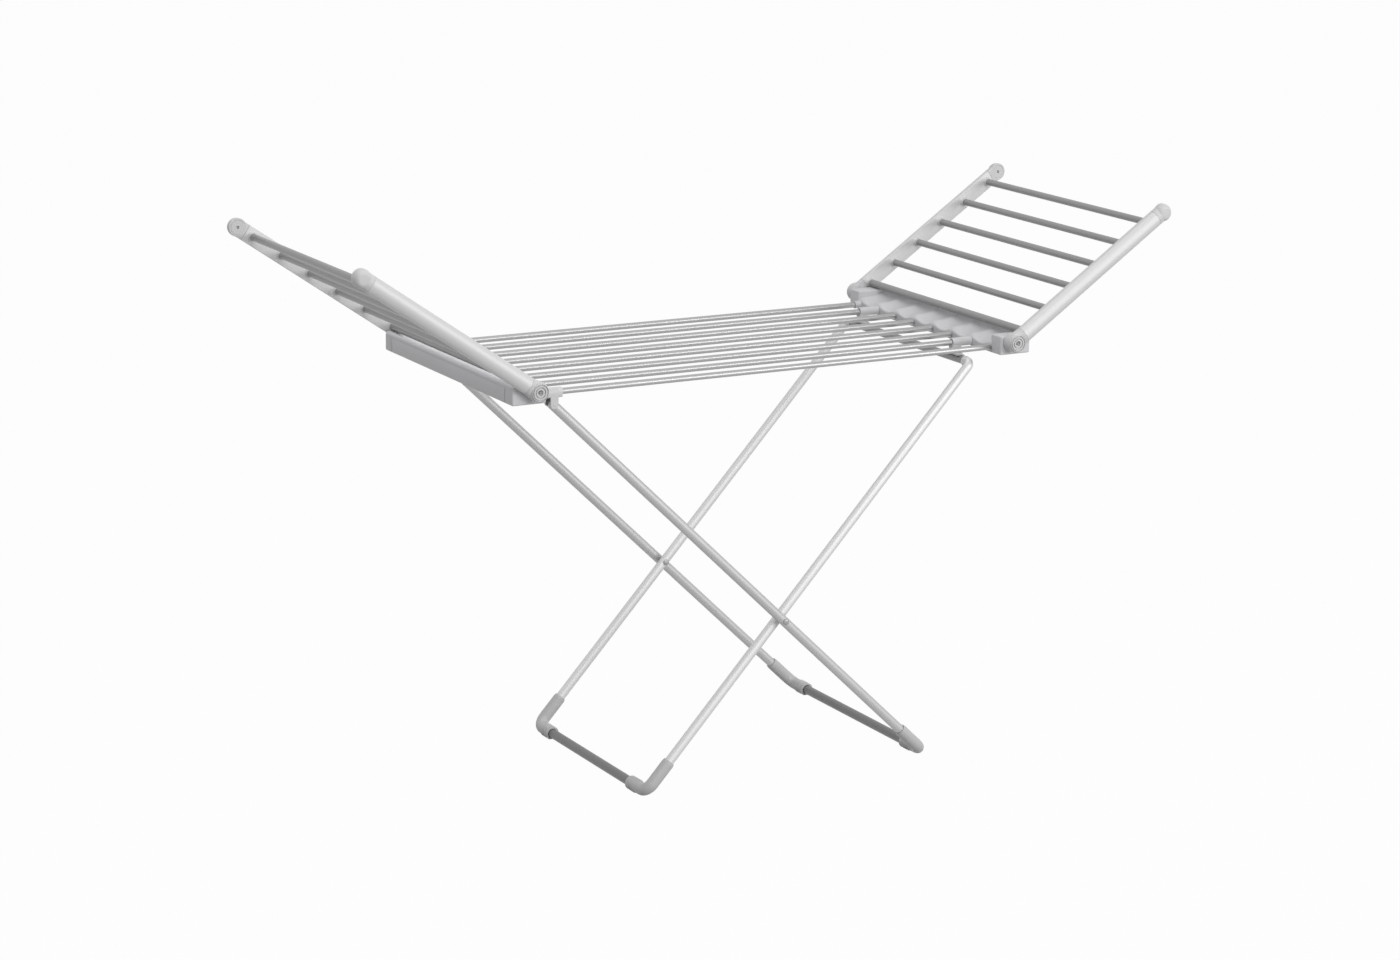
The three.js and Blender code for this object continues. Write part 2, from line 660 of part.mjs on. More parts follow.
// Foot elbow: a collar on the leg, a bend, and a ribbed collar on the foot tube
function elbow(frame, cornerX, y, legDirection) {
  const inward = -Math.sign(y);
  const corner = v3(cornerX, y, 0);
  const legEnd = corner.clone().add(v3(legDirection * elbowLegLength, 0, 0));
  const footEnd = corner.clone().add(v3(0, inward * elbowFootLength, 0));
  const collarStart = elbowFootLength - 2 * elbowRibInset - elbowRibCount * elbowRibPitch;
  const bendEnd = corner.clone().add(v3(0, inward * (collarStart + elbowRibInset), 0));
  const route = routeThrough([legEnd, corner, bendEnd], elbowBendRadius);
  const profile = [[0, elbowFootLength], [elbowCollarRadius, elbowFootLength]];
  for (let index = 0; index < elbowRibCount; index += 1) {
    const end = elbowFootLength - elbowRibInset - index * elbowRibPitch;
    profile.push([elbowCollarRadius, end], [elbowCollarRadius + elbowRibHeight, end - elbowRibWidth / 2]);
    profile.push([elbowCollarRadius, end - elbowRibWidth]);
  }
  profile.push([elbowCollarRadius, collarStart], [0, collarStart]);
  const turned = turnedAlongY(profile.reverse(), elbowSides);
  const collar = mirrored(turned, inward).translate([cornerX, y, 0]);
  const parts = [sweep(route, elbowRadius, 0, elbowSides), collar];
  const legBore = cylinder(legEnd.clone().add(v3(-legDirection * elbowLegBore, 0, 0)),
    legEnd.clone().add(v3(legDirection * overrun, 0, 0)), boreRadius(legRadius, gap, legSides), legSides);
  const footBore = cylinder(footEnd.clone().add(v3(0, -inward * elbowFootBore, 0)),
    footEnd.clone().add(v3(0, inward * overrun, 0)), boreRadius(footTubeRadius, gap, legSides), legSides);
  return cut(union(parts), [legBore, footBore, belowFloor(frame)]);
}

function footTube(cornerX, y) {
  const reach = y - elbowFootLength + elbowFootBore - gap;
  return straightTube(v3(cornerX, -reach, 0), v3(cornerX, reach, 0), footTubeRadius, legWall, legSides);
}

function crossHole(x, y, pinRadius) {
  const reach = legRadius + overrun;
  const radius = boreRadius(pinRadius, runningGap, smallSides);
  return cylinder(v3(x, y - reach, 0), v3(x, y + reach, 0), radius, smallSides);
}

// Outer leg: its top end is rounded about the pivot so that it turns in the clevis
function outerLeg(y, length, rivetX) {
  const end = length - elbowLegLength + elbowLegBore - gap;
  const tube = straightTube(v3(-legRadius, y, 0), v3(end, y, 0), legRadius, legWall, legSides);
  const side = 2 * legRadius;
  const corner = block(v3(-side, y - side, -side), v3(0, y + side, side));
  const round = cylinder(v3(0, y - side, 0), v3(0, y + side, 0), legRadius);
  return cut(tube, [corner.subtract(round), crossHole(0, y, bracketPinRadius),
    crossHole(rivetX, y, rivetRadius)]);
}

// Inner leg: bent inwards at the top, with a rim round the mouth that takes the cross tube
function innerLeg(y, topX, footX) {
  const inward = -Math.sign(y);
  const start = v3(footX + elbowLegLength - elbowLegBore + gap, y, 0);
  const corner = v3(topX, y, 0);
  const mouth = v3(topX, y + inward * legMouth, 0);
  const route = routeThrough([start, corner, mouth], legBendRadius);
  const tube = sweep(route, legRadius, legRadius - legWall, legSides);
  const rimStart = v3(topX, y + inward * (legMouth - legRimLength), 0);
  const boreStart = v3(topX, y + inward * (legMouth - legRimLength - gap), 0);
  const boreEnd = v3(topX, y + inward * (legMouth + overrun), 0);
  const rim = cylinder(rimStart, mouth, legRimRadius, legSides)
    .subtract(cylinder(boreStart, boreEnd, legRadius - legWall, legSides));
  return cut(tube.add(rim), [crossHole(0, y, rivetRadius)]);
}

// Leg rivet: head outside the outer leg, spacer between the legs, tail inside the inner leg
function legRivet(x, sign) {
  const outside = outerLegY + legRadius + gap;
  const inside = innerLegY - legRadius - gap;
  const spacerEnds = [innerLegY + legRadius + gap, outerLegY - legRadius - gap];
  const profile = [
    [0, inside - rivetHeadHeight], [rivetHeadRadius / 2, inside - rivetHeadHeight],
    [rivetHeadRadius, inside - rivetHeadHeight / 2], [rivetHeadRadius, inside], [rivetRadius, inside],
    [rivetRadius, spacerEnds[0]], [rivetSpacerRadius, spacerEnds[0]], [rivetSpacerRadius, spacerEnds[1]],
    [rivetRadius, spacerEnds[1]], [rivetRadius, outside], [rivetHeadRadius, outside],
    [rivetHeadRadius, outside + rivetHeadHeight / 2], [rivetHeadRadius / 2, outside + rivetHeadHeight],
    [0, outside + rivetHeadHeight],
  ];
  const solid = turnedAlongY(profile, smallSides);
  return mirrored(solid, sign).translate([x, 0, 0]);
}

// One heating cable winds through all the rods and turns in the end bars
function heatingCable() {
  const turnX = barInnerX + cableTurnLength;
  const corners = [v3(terminalFaceX() - gap, rodY(0), rodHeight)];
  for (let index = 0; index < rodCount; index += 1) {
    const side = index % 2 === 0 ? -1 : 1;
    corners.push(v3(side * turnX, rodY(index), rodHeight));
    if (index < rodCount - 1) corners.push(v3(side * turnX, rodY(index + 1), rodHeight));
  }
  return sweep(routeThrough(corners, cableBend, 2), cableRadius, 0, 5);
}

function terminalFaceX() {
  return barOuterX - barWall - terminalGap - terminalSize.x;
}

function terminalBlock() {
  const middleY = rodY(0) - terminalOffset;
  const low = v3(terminalFaceX(), middleY - terminalSize.y / 2, barBottom + barWall + gap);
  const body = block(low, low.clone().add(terminalSize));
  const slotDepth = terminalSize.z / 3;
  const slots = [-1, 1].map((place) => {
    const y = middleY + (place * terminalSize.y) / 4;
    return cylinder(v3(low.x + terminalSize.x / 2, y, low.z + terminalSize.z - slotDepth),
      v3(low.x + terminalSize.x / 2, y, low.z + terminalSize.z + overrun), terminalSize.y / 10, smallSides);
  });
  return cut(body, slots);
}

// Rocker: a shallow V on two pins, tilted to its off position
function switchRocker() {
  const half = switchWidth / 2 - switchEndGap;
  const back = -switchDepth / 2;
  const outline = new THREE.Shape();
  outline.moveTo(back, -half / 2);
  outline.lineTo(0, -half);
  outline.lineTo(switchDepth / 2 + switchProud, -half);
  outline.lineTo(switchDepth / 2, 0);
  outline.lineTo(switchDepth / 2 + switchProud, half);
  outline.lineTo(0, half);
  outline.lineTo(back, half / 2);
  outline.closePath();
  const depth = switchHeight - 2 * gap;
  const geometry = new THREE.ExtrudeGeometry(outline, { depth, bevelEnabled: false });
  geometry.translate(0, 0, -depth / 2);
  const reach = switchHeight / 2 + switchPinLength;
  return toSolid(geometry).add(cylinder(v3(0, 0, -reach), v3(0, 0, reach), switchPinRadius, smallSides));
}

// Assembly
const airer = new THREE.Group();

for (let index = 0; index < rodCount; index += 1) {
  const end = barInnerX + rodInsertion;
  const tube = straightTube(v3(-end, rodY(index), rodHeight), v3(end, rodY(index), rodHeight),
    rodRadius, rodWall, rodSides);
  piece(airer, `deck_rod_${index + 1}`, aluminium, tube);
}
piece(airer, 'heating_cable', cableJacket, heatingCable());
piece(airer, 'terminal_block', terminalNylon, terminalBlock());

const allRods = Array.from({ length: rodCount }, (_, index) => index);
const ends = [{ end: 'front', sign: -1 }, { end: 'back', sign: 1 }];

for (const side of ['left', 'right']) {
  // The left side is the right one turned half a turn about the vertical
  const turn = side === 'left' ? -1 : 1;
  const half = new THREE.Group();
  half.rotation.z = side === 'left' ? Math.PI : 0;
  airer.add(half);
  const heldRods = side === 'left' ? bracketRodIndexes : hookRodIndexes;
  const socketRods = allRods.filter((index) => !heldRods.includes(index));
  piece(half, `${side}_end_base`, barPlastic, endBase({ socketRods, hasSwitch: side === 'right' }));
  piece(half, `${side}_end_cover`, barPlastic, endCover());

  const wing = new THREE.Group();
  wing.position.set(hingeX, 0, hingeZ);
  wing.rotation.y = -wingAngle;
  half.add(wing);
  for (const { end, sign } of ends) {
    const place = sign * turn;
    piece(half, `${side}_wing_pivot_${end}`, palePlastic, wingPivot(place));
    piece(wing, `${side}_wing_knuckle_${end}`, palePlastic, knuckle(place));
    piece(wing, `${side}_wing_rail_${end}`, aluminium, wingRail(place));
    piece(wing, `${side}_wing_cap_${end}`, palePlastic, outerCap(place));
  }
  for (let index = 0; index < rungCount; index += 1) {
    piece(wing, `${side}_wing_rung_${index + 1}`, rungMetal, rung(index));
  }

  for (const { end, sign } of ends) {
    const place = sign * turn;
    if (side === 'left') {
      piece(half, `leg_bracket_${end}`, palePlastic, legBracket(place * rodY(0), place * outerLegY));
    } else {
      piece(half, `leg_hook_${end}`, palePlastic, legHook(place * rodY(hookRodIndexes[0])));
    }
  }
}

const rocker = new THREE.Group();
rocker.position.set(barOuterX - switchDepth / 2, switchY, rodHeight);
rocker.rotation.z = -switchTravel / 2;
airer.add(rocker);
piece(rocker, 'switch_rocker', switchBlack, switchRocker());

// The two leg frames meet at the rivets
const outerPivot = new THREE.Vector2(outerPivotX, outerPivotZ);
const outerFoot = new THREE.Vector2(outerFootX, footHeight);
const innerTop = new THREE.Vector2(innerTopX, innerTopZ);
const innerFoot = new THREE.Vector2(innerFootX, footHeight);
const outerLength = outerPivot.distanceTo(outerFoot);
const outerWay = outerFoot.clone().sub(outerPivot).normalize();
const innerWay = innerTop.clone().sub(innerFoot).normalize();
const between = innerFoot.clone().sub(outerPivot);
const rivetAlong = between.cross(innerWay) / outerWay.cross(innerWay);
const rivet = outerPivot.clone().addScaledVector(outerWay, rivetAlong);
const innerTopLength = rivet.distanceTo(innerTop);
const innerFootLength = rivet.distanceTo(innerFoot);

const outerFrame = new THREE.Group();
outerFrame.position.set(outerPivot.x, 0, outerPivot.y);
outerFrame.rotation.y = -outerWay.angle();
airer.add(outerFrame);
const innerFrame = new THREE.Group();
innerFrame.position.set(rivet.x, 0, rivet.y);
innerFrame.rotation.y = -innerWay.angle();
airer.add(innerFrame);

for (const { end, sign } of ends) {
  const outerY = sign * outerLegY;
  const innerY = sign * innerLegY;
  piece(outerFrame, `outer_leg_${end}`, aluminium, outerLeg(outerY, outerLength, rivetAlong));
  piece(outerFrame, `outer_foot_elbow_${end}`, palePlastic, elbow(outerFrame, outerLength, outerY, -1));
  piece(outerFrame, `leg_rivet_${end}`, zinc, legRivet(rivetAlong, sign));
  piece(innerFrame, `inner_leg_${end}`, aluminium, innerLeg(innerY, innerTopLength, -innerFootLength));
  piece(innerFrame, `inner_foot_elbow_${end}`, palePlastic, elbow(innerFrame, -innerFootLength, innerY, 1));
}
piece(outerFrame, 'outer_foot_tube', darkSteel, footTube(outerLength, outerLegY));
piece(innerFrame, 'inner_foot_tube', darkSteel, footTube(-innerFootLength, innerLegY));
const crossReach = innerLegY - legMouth + crossTubeInsertion;
piece(innerFrame, 'inner_cross_tube', darkSteel, straightTube(v3(innerTopLength, -crossReach, 0),
  v3(innerTopLength, crossReach, 0), crossTubeRadius, legWall, legSides));

export default airer;
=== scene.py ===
"""The looks of a winged, folding, electrically heated clothes airer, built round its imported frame.

Sizes are in millimetres, as in the part's source, and become metres where a mesh is made.
+X runs along the deck from left to right, the front is at -Y, and the floor is at Z = 0.
"""

import math

import bmesh
import bpy
import numpy as np
from mathutils import Matrix, Vector


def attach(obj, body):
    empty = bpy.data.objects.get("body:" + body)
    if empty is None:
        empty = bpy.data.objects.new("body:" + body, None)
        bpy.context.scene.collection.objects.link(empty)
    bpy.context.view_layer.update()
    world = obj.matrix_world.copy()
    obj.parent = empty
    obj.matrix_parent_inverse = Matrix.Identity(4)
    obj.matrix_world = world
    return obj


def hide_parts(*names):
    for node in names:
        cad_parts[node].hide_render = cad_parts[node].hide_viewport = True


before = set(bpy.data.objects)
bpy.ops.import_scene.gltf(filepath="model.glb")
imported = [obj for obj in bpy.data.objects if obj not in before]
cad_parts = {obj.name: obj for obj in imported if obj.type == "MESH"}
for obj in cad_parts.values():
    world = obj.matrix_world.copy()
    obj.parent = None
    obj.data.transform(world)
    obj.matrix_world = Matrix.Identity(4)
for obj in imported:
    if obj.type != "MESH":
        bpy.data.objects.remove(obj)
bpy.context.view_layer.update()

MM = 0.001
GAP = 0.3           # between pieces that touch
ENDS = (("front", -1), ("back", 1))

# Camera: azimuth, elevation and roll in degrees, its place in metres and its lens
CAMERA_ANGLES = (29.5165, 13.9358, 0.90928)
CAMERA_PLACE = (-2.70233, -4.74943, 1.82395)
CAMERA_LENS = 86.0

# Light: how bright the floor's own surface and the world's fill are, and the floor's share of white
FLOOR_GREY = 0.36
FLOOR_WHITE = 0.975
WORLD_FILL = 0.53

# Deck rods
ROD_COUNT = 8
ROD_PITCH = 58.8
ROD_RADIUS = 5.0
ROD_WALL = 0.9
ROD_Z = 698.6
ROD_END = 431.6
ROD_Y = ROD_PITCH * ((ROD_COUNT - 1) / 2 - np.arange(ROD_COUNT))
BRACKET_RODS = (0, ROD_COUNT - 1)
HOOK_RODS = (1, ROD_COUNT - 2)

# End bars
BAR_INNER_X = 423.6
BAR_OUTER_X = 482.2
BAR_BOTTOM = 689.7
BAR_TOP = 721.5
BAR_END_Y = 238.6
BAR_WALL = 2.5
BAR_EDGE = 2.5
BLOCK_EDGE = 3.0
COVER_END_Y = 211.6
COVER_WALL = 2.2
COVER_NOSE = 1.6
COVER_RIM = 5.0
COVER_SLOPE = 3.0
COVER_SCOOP = 12.0
COVER_SCOOP_POWER = 6
RIDGE_HEIGHT = 4.5
RIDGE_RISE = 3.8
RIDGE_NOSE = 0.2
RIDGE_POWER = 2.2
RIDGE_FADE = 5
SHOULDER_RADIUS = 6.0
SHOULDER_DROP = 1.8
SOCKET_LENGTH = 11.4
SOCKET_RADIUS = 6.5
SOCKET_EDGE = 0.8

# Wing hinges and wings
HINGE_X = 444.0
HINGE_Z = 711.8
HINGE_FACE_Y = 260.0
PIVOT_RADIUS = 5.5
PIVOT_BORE = 2.5
PIVOT_HEAD_RADIUS = 7.6
PIVOT_HEAD_THICKNESS = 3.0
PIVOT_HEAD_Y = 231.7
DISC_RADIUS = 14.4
DISC_THICKNESS = 2.8
DISC_EDGE = 0.9
DISC_RINGS = (7.0, 11.4)
RING_WIDTH = 2.2
RING_DEPTH = 2.3
MOUTH_RADIUS = 4.4
MOUTH_DEPTH = 4.0
PIN_RADIUS = 1.9
PIN_SINK = 2.6
PIN_DOME = 1.4
KNUCKLE_RADIUS = 16.0
KNUCKLE_INNER_Y = 239.2
KNUCKLE_EDGE = 1.2
KNUCKLE_BEVEL = 0.3
KNUCKLE_NECK_X = 6.0
KNUCKLE_NECK_HALF = 15.0
WING_ANGLE = math.radians(34.3)
RUNG_COUNT = 6
RUNG_PITCH = 59.2
RUNG_RADIUS = 5.8
FIRST_RUNG_RADIUS = 6.4
RUNG_WALL = 0.9
RUNG_END = 29.2
FLARE_LENGTH = 7.0
FLARE_RISE = 3.0
FLARE_EDGE = 0.2
WING_LENGTH = 2 * RUNG_END + (RUNG_COUNT - 1) * RUNG_PITCH
RAIL_INNER_Y = 243.8
RAIL_HALF_HEIGHT = 13.9
RAIL_DEPTH = 17.0
RAIL_FLAT = 5.5
RAIL_WALL = 1.6
RAIL_EDGE = 0.8
NECK_LENGTH = 20.0
CAP_NECK_LENGTH = 16.0
SPIGOT_LENGTH = 14.0
CAP_RADIUS = 15.1
CAP_FACE_RADIUS = 7.0
CAP_RING_RADIUS = 11.2
CAP_RING_WIDTH = 1.2
CAP_EDGE = 0.8
CAP_HOLE_RADIUS = 2.8
CAP_HOLE_DEPTH = 3.5

# Legs
LEG_RADIUS = 8.0
LEG_WALL = 1.0
OUTER_LEG_Y = 215.0
INNER_LEG_Y = 196.0
OUTER_PIVOT = (-402.9, 682.5)
OUTER_FOOT = (306.5, 9.9)
INNER_TOP = (392.6, 672.2)
INNER_FOOT = (-216.0, 9.9)
LEG_BEND = 10.0
LEG_MOUTH = 17.0
LEG_RIM_RADIUS = 8.7
LEG_RIM_LENGTH = 2.5
LEG_RIM_EDGE = 0.6
CROSS_TUBE_RADIUS = 6.6
CROSS_TUBE_INSERTION = 5.0
FOOT_TUBE_RADIUS = 8.0
ELBOW_RADIUS = 10.5
ELBOW_BEND = 17.0
ELBOW_LEG = 62.0
ELBOW_FOOT = 53.0
ELBOW_LEG_BORE = 34.0
ELBOW_FOOT_BORE = 31.0
ELBOW_COLLAR_RADIUS = 11.0
ELBOW_COLLAR_LENGTH = 26.5
ELBOW_RIM_RADIUS = 11.8
ELBOW_RIM_LENGTH = 3.2
ELBOW_RIM_EDGE = 0.6
BORE_EDGE = 0.4
ELBOW_RIB_COUNT = 4
ELBOW_RIB_INSET = 1.6
ELBOW_RIB_PITCH = 4.4
ELBOW_RIB_WIDTH = 2.8
ELBOW_RIB_HEIGHT = 1.0
RIVET_RADIUS = 2.8
RIVET_HEAD_RADIUS = 5.4
RIVET_HEAD_HEIGHT = 2.2
RIVET_BEVEL = 0.2
SPACER_RADIUS = 5.5

# Leg brackets, leg hooks, inlet and switch
BARREL_RADIUS = 7.6
BARREL_EDGE = 0.9
BRACKET_LENGTH = 42.0
EAR_THICKNESS = 3.0
EAR_RADIUS = 6.8
SADDLE_LENGTH = 30.0
SADDLE_LIFT = 2.6
SADDLE_DROP = 1.5
SADDLE_RADII = (2, 2, 5, 5)
SADDLE_EDGE = 3.0
BRACKET_PIN_RADIUS = 3.0
BRACKET_BEVEL = 0.5
HOOK_LENGTH = 38.0
HOOK_WIDTH = 40.0
HOOK_WALL = 3.0
HOOK_LIP = math.radians(-50)
HOOK_TOP_REACH = 8.0
HOOK_WEB_WIDTH = 12.0
HOOK_RIBS = (-15, -9, 9, 15)
HOOK_RIB_WIDTH = 1.6
HOOK_RIB_RISE = 0.9
HOOK_BEVEL = 0.4
RUNNING_GAP = 0.4   # round a pin that turns
INLET_Y = 150.0
INLET_RADIUS = 3.6
INLET_COLLAR_RADIUS = 7.5
INLET_COLLAR_LENGTH = 4.0
SWITCH_Y = 105.0
SWITCH_WIDTH = 21.0
SWITCH_HEIGHT = 13.0
SWITCH_DEPTH = 9.0
SWITCH_TILT = math.radians(7)
SWITCH_PROUD = 2.4
SWITCH_END_GAP = 0.9
SWITCH_EDGE = 0.4
SWITCH_BEVEL = 0.5

# Facets: sides round a tube and other rounds, a tube's edge, and columns and rows of a surface
ROUND = 48
SMALL_ROUND = 28
BARREL_ROUND = 36
ELBOW_ROUND = 56
TUBE_EDGE = 0.3
COVER_COLUMNS = 42
COVER_ROWS = 226
CHANNEL_ROWS = 180
SHARP_ANGLE = math.radians(34)


# Camera

def unit(vector):
    vector = np.asarray(vector, float)
    return vector / np.linalg.norm(vector)


def add_camera():
    """The photograph's view: a place, a heading, a small roll and a lens."""
    azimuth, elevation, roll = (math.radians(angle) for angle in CAMERA_ANGLES)
    ahead = np.array([math.sin(azimuth) * math.cos(elevation),
                      math.cos(azimuth) * math.cos(elevation), -math.sin(elevation)])
    right = np.array([math.cos(azimuth), -math.sin(azimuth), 0])
    up = np.cross(right, ahead)
    across = right * math.cos(roll) + up * math.sin(roll)
    upright = up * math.cos(roll) - right * math.sin(roll)
    camera = bpy.data.objects.new("camera", bpy.data.cameras.new("camera"))
    turn = Matrix([list(row) for row in np.column_stack([across, upright, -ahead])]).to_4x4()
    camera.matrix_world = Matrix.Translation(CAMERA_PLACE) @ turn
    camera.data.sensor_width = 36
    camera.data.lens = CAMERA_LENS
    camera.data.clip_end = 100
    bpy.context.scene.collection.objects.link(camera)
    bpy.context.scene.camera = camera


# Surfaces: each is a dictionary of points, their grain coordinates and faces

def grid(points, grain, loop_rows=False, capped=False):
    """A surface through rows and columns of points, with a quad between each four neighbours. Each
    row is a closed loop. The last row may join the first, or both may be closed by a flat face."""
    rows, columns = points.shape[:2]
    index = np.arange(rows * columns).reshape(rows, columns)
    if loop_rows:
        index = np.vstack([index, index[:1]])
    index = np.hstack([index, index[:, :1]])
    quads = np.stack([index[:-1, :-1], index[1:, :-1], index[1:, 1:], index[:-1, 1:]], axis=-1)
    faces = quads.reshape(-1, 4).tolist()
    if capped:
        faces += [index[0, :columns].tolist(), index[-1, :columns][::-1].tolist()]
    return {"points": points.reshape(-1, 3), "grain": grain.reshape(-1, 3), "faces": faces}


def moved(surface, change):
    """The same surface with its points put through a change of place."""
    return {**surface, "points": change(surface["points"])}


def mirrored(surface, axis):
    """The same surface seen in a mirror across X = 0 or Y = 0."""
    points = surface["points"].copy()
    points[:, axis] *= -1
    return {**surface, "points": points}


def on_slope(origin, along):
    """A change of place: X goes along a slope in the XZ plane, Z square to it, Y stays."""
    ux, uz = along
    turn = np.array([[ux, 0, uz], [0, 1, 0], [-uz, 0, ux]])
    return lambda points: points @ turn + np.array([origin[0], 0, origin[1]])


def line(corners, bend=0.0):
    """A line through corners, each rounded by an arc: a function from distances along it to its
    points and headings. On an arc the point is
    start + bend (sin a heading + (1 - cos a) inward)."""
    corners = np.asarray(corners, float)
    spans = np.diff(corners, axis=0)
    lengths = np.linalg.norm(spans, axis=1)
    headings = spans / lengths[:, None]
    turns = [math.acos(float(np.clip(a @ b, -1, 1))) for a, b in zip(headings, headings[1:])]
    trims = [0.0] + [bend * math.tan(turn / 2) for turn in turns] + [0.0]
    stretches = []
    distance, point = 0.0, corners[0]
    for i, heading in enumerate(headings):
        stretches.append((distance, point, heading, None))
        run = lengths[i] - trims[i] - trims[i + 1]
        distance, point = distance + run, point + heading * run
        if i < len(turns):
            inward = unit(headings[i + 1] - math.cos(turns[i]) * heading)
            stretches.append((distance, point, heading, inward))
            distance += bend * turns[i]
            point = corners[i + 1] + headings[i + 1] * trims[i + 1]

    def at(distances):
        distances = np.asarray(distances, float)
        points = np.zeros(distances.shape + (3,))
        ways = np.zeros_like(points)
        for start, origin, heading, inward in stretches:
            later = distances >= start if start > 0 else np.ones(distances.shape, bool)
            rest = (distances[later] - start)[:, None]
            if inward is None:
                points[later] = origin + heading * rest
                ways[later] = heading
            else:
                angle = rest / bend
                points[later] = origin + bend * (np.sin(angle) * heading
                                                 + (1 - np.cos(angle)) * inward)
                ways[later] = np.cos(angle) * heading + np.sin(angle) * inward
        return points, ways

    at.length = distance
    arcs = [start for start, _, _, inward in stretches if inward is not None]
    at.bends = [(start, start + bend * turn) for start, turn in zip(arcs, turns)]
    return at


def refined(profile, marks):
    """A profile of (distance, radius) rows with more rows where it passes the marks."""
    rows = [profile[0]]
    for (s0, r0), (s1, r1) in zip(profile, profile[1:]):
        inside = [m for m in marks if min(s0, s1) + 0.01 < m < max(s0, s1) - 0.01]
        inside.sort(reverse=s1 < s0)
        rows += [(m, r0 + (r1 - r0) * (m - s0) / (s1 - s0)) for m in inside] + [(s1, r1)]
    return rows


def swept(at, profile, sides=ROUND, square=(0, 1, 0), loop=False):
    """A profile of (distance, radius) rows carried along a line:
    point = place + radius (cos t first + sin t second), where second is square to the line's plane
    and first completes the right angle."""
    profile = np.asarray(profile, float)
    places, headings = at(profile[:, 0])
    second = unit(square)
    first = np.cross(second, headings)
    t = np.linspace(0, 2 * math.pi, sides, endpoint=False)
    radii = profile[:, 1][:, None, None]
    points = (places[:, None] + radii * (np.cos(t)[None, :, None] * first[:, None]
                                         + np.sin(t)[None, :, None] * second))
    grain = np.stack(np.broadcast_arrays(profile[:, 0][:, None], profile[:, 1][:, None] * np.cos(t),
                                         profile[:, 1][:, None] * np.sin(t)), axis=-1)
    return grid(points, grain, loop_rows=loop)


def tube(start, end, radius, wall):
    """A straight tube between two points: its profile goes out over one rim, along and back."""
    start, end = np.asarray(start, float), np.asarray(end, float)
    length = float(np.linalg.norm(end - start))
    inner, rim = radius - wall, radius - TUBE_EDGE
    rows = [(0, inner), (0, rim), (TUBE_EDGE, radius), (length - TUBE_EDGE, radius), (length, rim),
            (length, inner)]
    square = (0, 0, 1) if abs((end - start)[2]) < 0.5 * length else (0, 1, 0)
    return swept(line([start, end]), rows, ROUND, square, loop=True)


def turned(profile, centre, axis, sides=ROUND, loop=False):
    """A profile of (distance, radius) rows turned about a line through centre along an axis."""
    centre, axis = np.asarray(centre, float), np.asarray(axis, float)
    square = (0, 0, 1) if abs(axis[2]) < 0.5 else (0, 1, 0)
    return swept(line([centre, centre + axis]), profile, sides, square, loop)


def rounded_rows(rows, radius, steps=4):
    """A profile with each inner corner replaced by a small arc, drawn as a quadratic curve."""
    rows = [np.asarray(row, float) for row in rows]
    result = [rows[0]]
    for before, corner, after in zip(rows, rows[1:], rows[2:]):
        reach = min(radius, 0.45 * np.linalg.norm(corner - before),
                    0.45 * np.linalg.norm(after - corner))
        a = corner + unit(before - corner) * reach
        b = corner + unit(after - corner) * reach
        for u in np.linspace(0, 1, steps + 1):
            result.append((1 - u) ** 2 * a + 2 * u * (1 - u) * corner + u ** 2 * b)
    result.append(rows[-1])
    return result


def box_loop(low, high, radii, steps=6):
    """A rectangle in X and Z with rounded corners: straight sides joined by quarter circles.
    The corners go round from the lower left one."""
    corners = [(low[0], low[1], math.pi), (high[0], low[1], 1.5 * math.pi),
               (high[0], high[1], 0.0), (low[0], high[1], 0.5 * math.pi)]
    points = []
    for (x, z, start), radius in zip(corners, radii):
        inward = (radius if x == low[0] else -radius, radius if z == low[1] else -radius)
        t = start + np.linspace(0, 0.5 * math.pi, steps + 1)
        points.append(np.column_stack([x + inward[0] + radius * np.cos(t),
                                       z + inward[1] + radius * np.sin(t)]))
    return np.vstack(points)


def lofted(loops, ys):
    """Loops of (X, Z) points set at stations along Y and joined, with flat ends."""
    loops = np.asarray(loops, float)
    ys = np.broadcast_to(np.asarray(ys, float)[:, None], loops.shape[:2])
    points = np.stack([loops[..., 0], ys, loops[..., 1]], axis=-1)
    return grid(points, points.copy(), capped=True)


def round_block(low, high, radii, edge, steps=5):
    """A block whose section in X and Z has rounded corners and whose ends along Y are rounded too:
    near an end the section shrinks by edge (1 - sin a) while Y moves by edge (1 - cos a)."""
    angles = np.linspace(0, 0.5 * math.pi, steps + 1)
    insets = edge * (1 - np.sin(angles))
    shifts = edge * (1 - np.cos(angles))
    ys = np.concatenate([low[1] + shifts, high[1] - shifts[::-1]])
    loops = [box_loop((low[0] + d, low[2] + d), (high[0] - d, high[2] - d),
                      [max(r - d, 0.1) for r in radii])
             for d in np.concatenate([insets, insets[::-1]])]
    return lofted(loops, ys)


def plate(outline, from_y, to_y):
    """An outline of (X, Z) points drawn out along Y, with flat faces."""
    outline = np.asarray(outline, float)
    return lofted([outline, outline], [from_y, to_y])


def slab(xs, ys, bottom, top):
    """A closed slab between two heights, each worked out over the grid of X and Y: the columns of
    the surface go round the slab's section, along its top and back along its underside."""
    over, under = np.stack([xs, top], axis=-1), np.stack([xs, bottom], axis=-1)
    loops = np.concatenate([over, under[:, ::-1]], axis=1)
    return lofted(loops, ys[:, 0])


def arc(centre, radius, start, end, steps):
    """Points on a circle in X and Z from one angle to another."""
    t = np.linspace(start, end, steps + 1)
    return np.column_stack([centre[0] + radius * np.cos(t), centre[1] + radius * np.sin(t)])


# Making objects

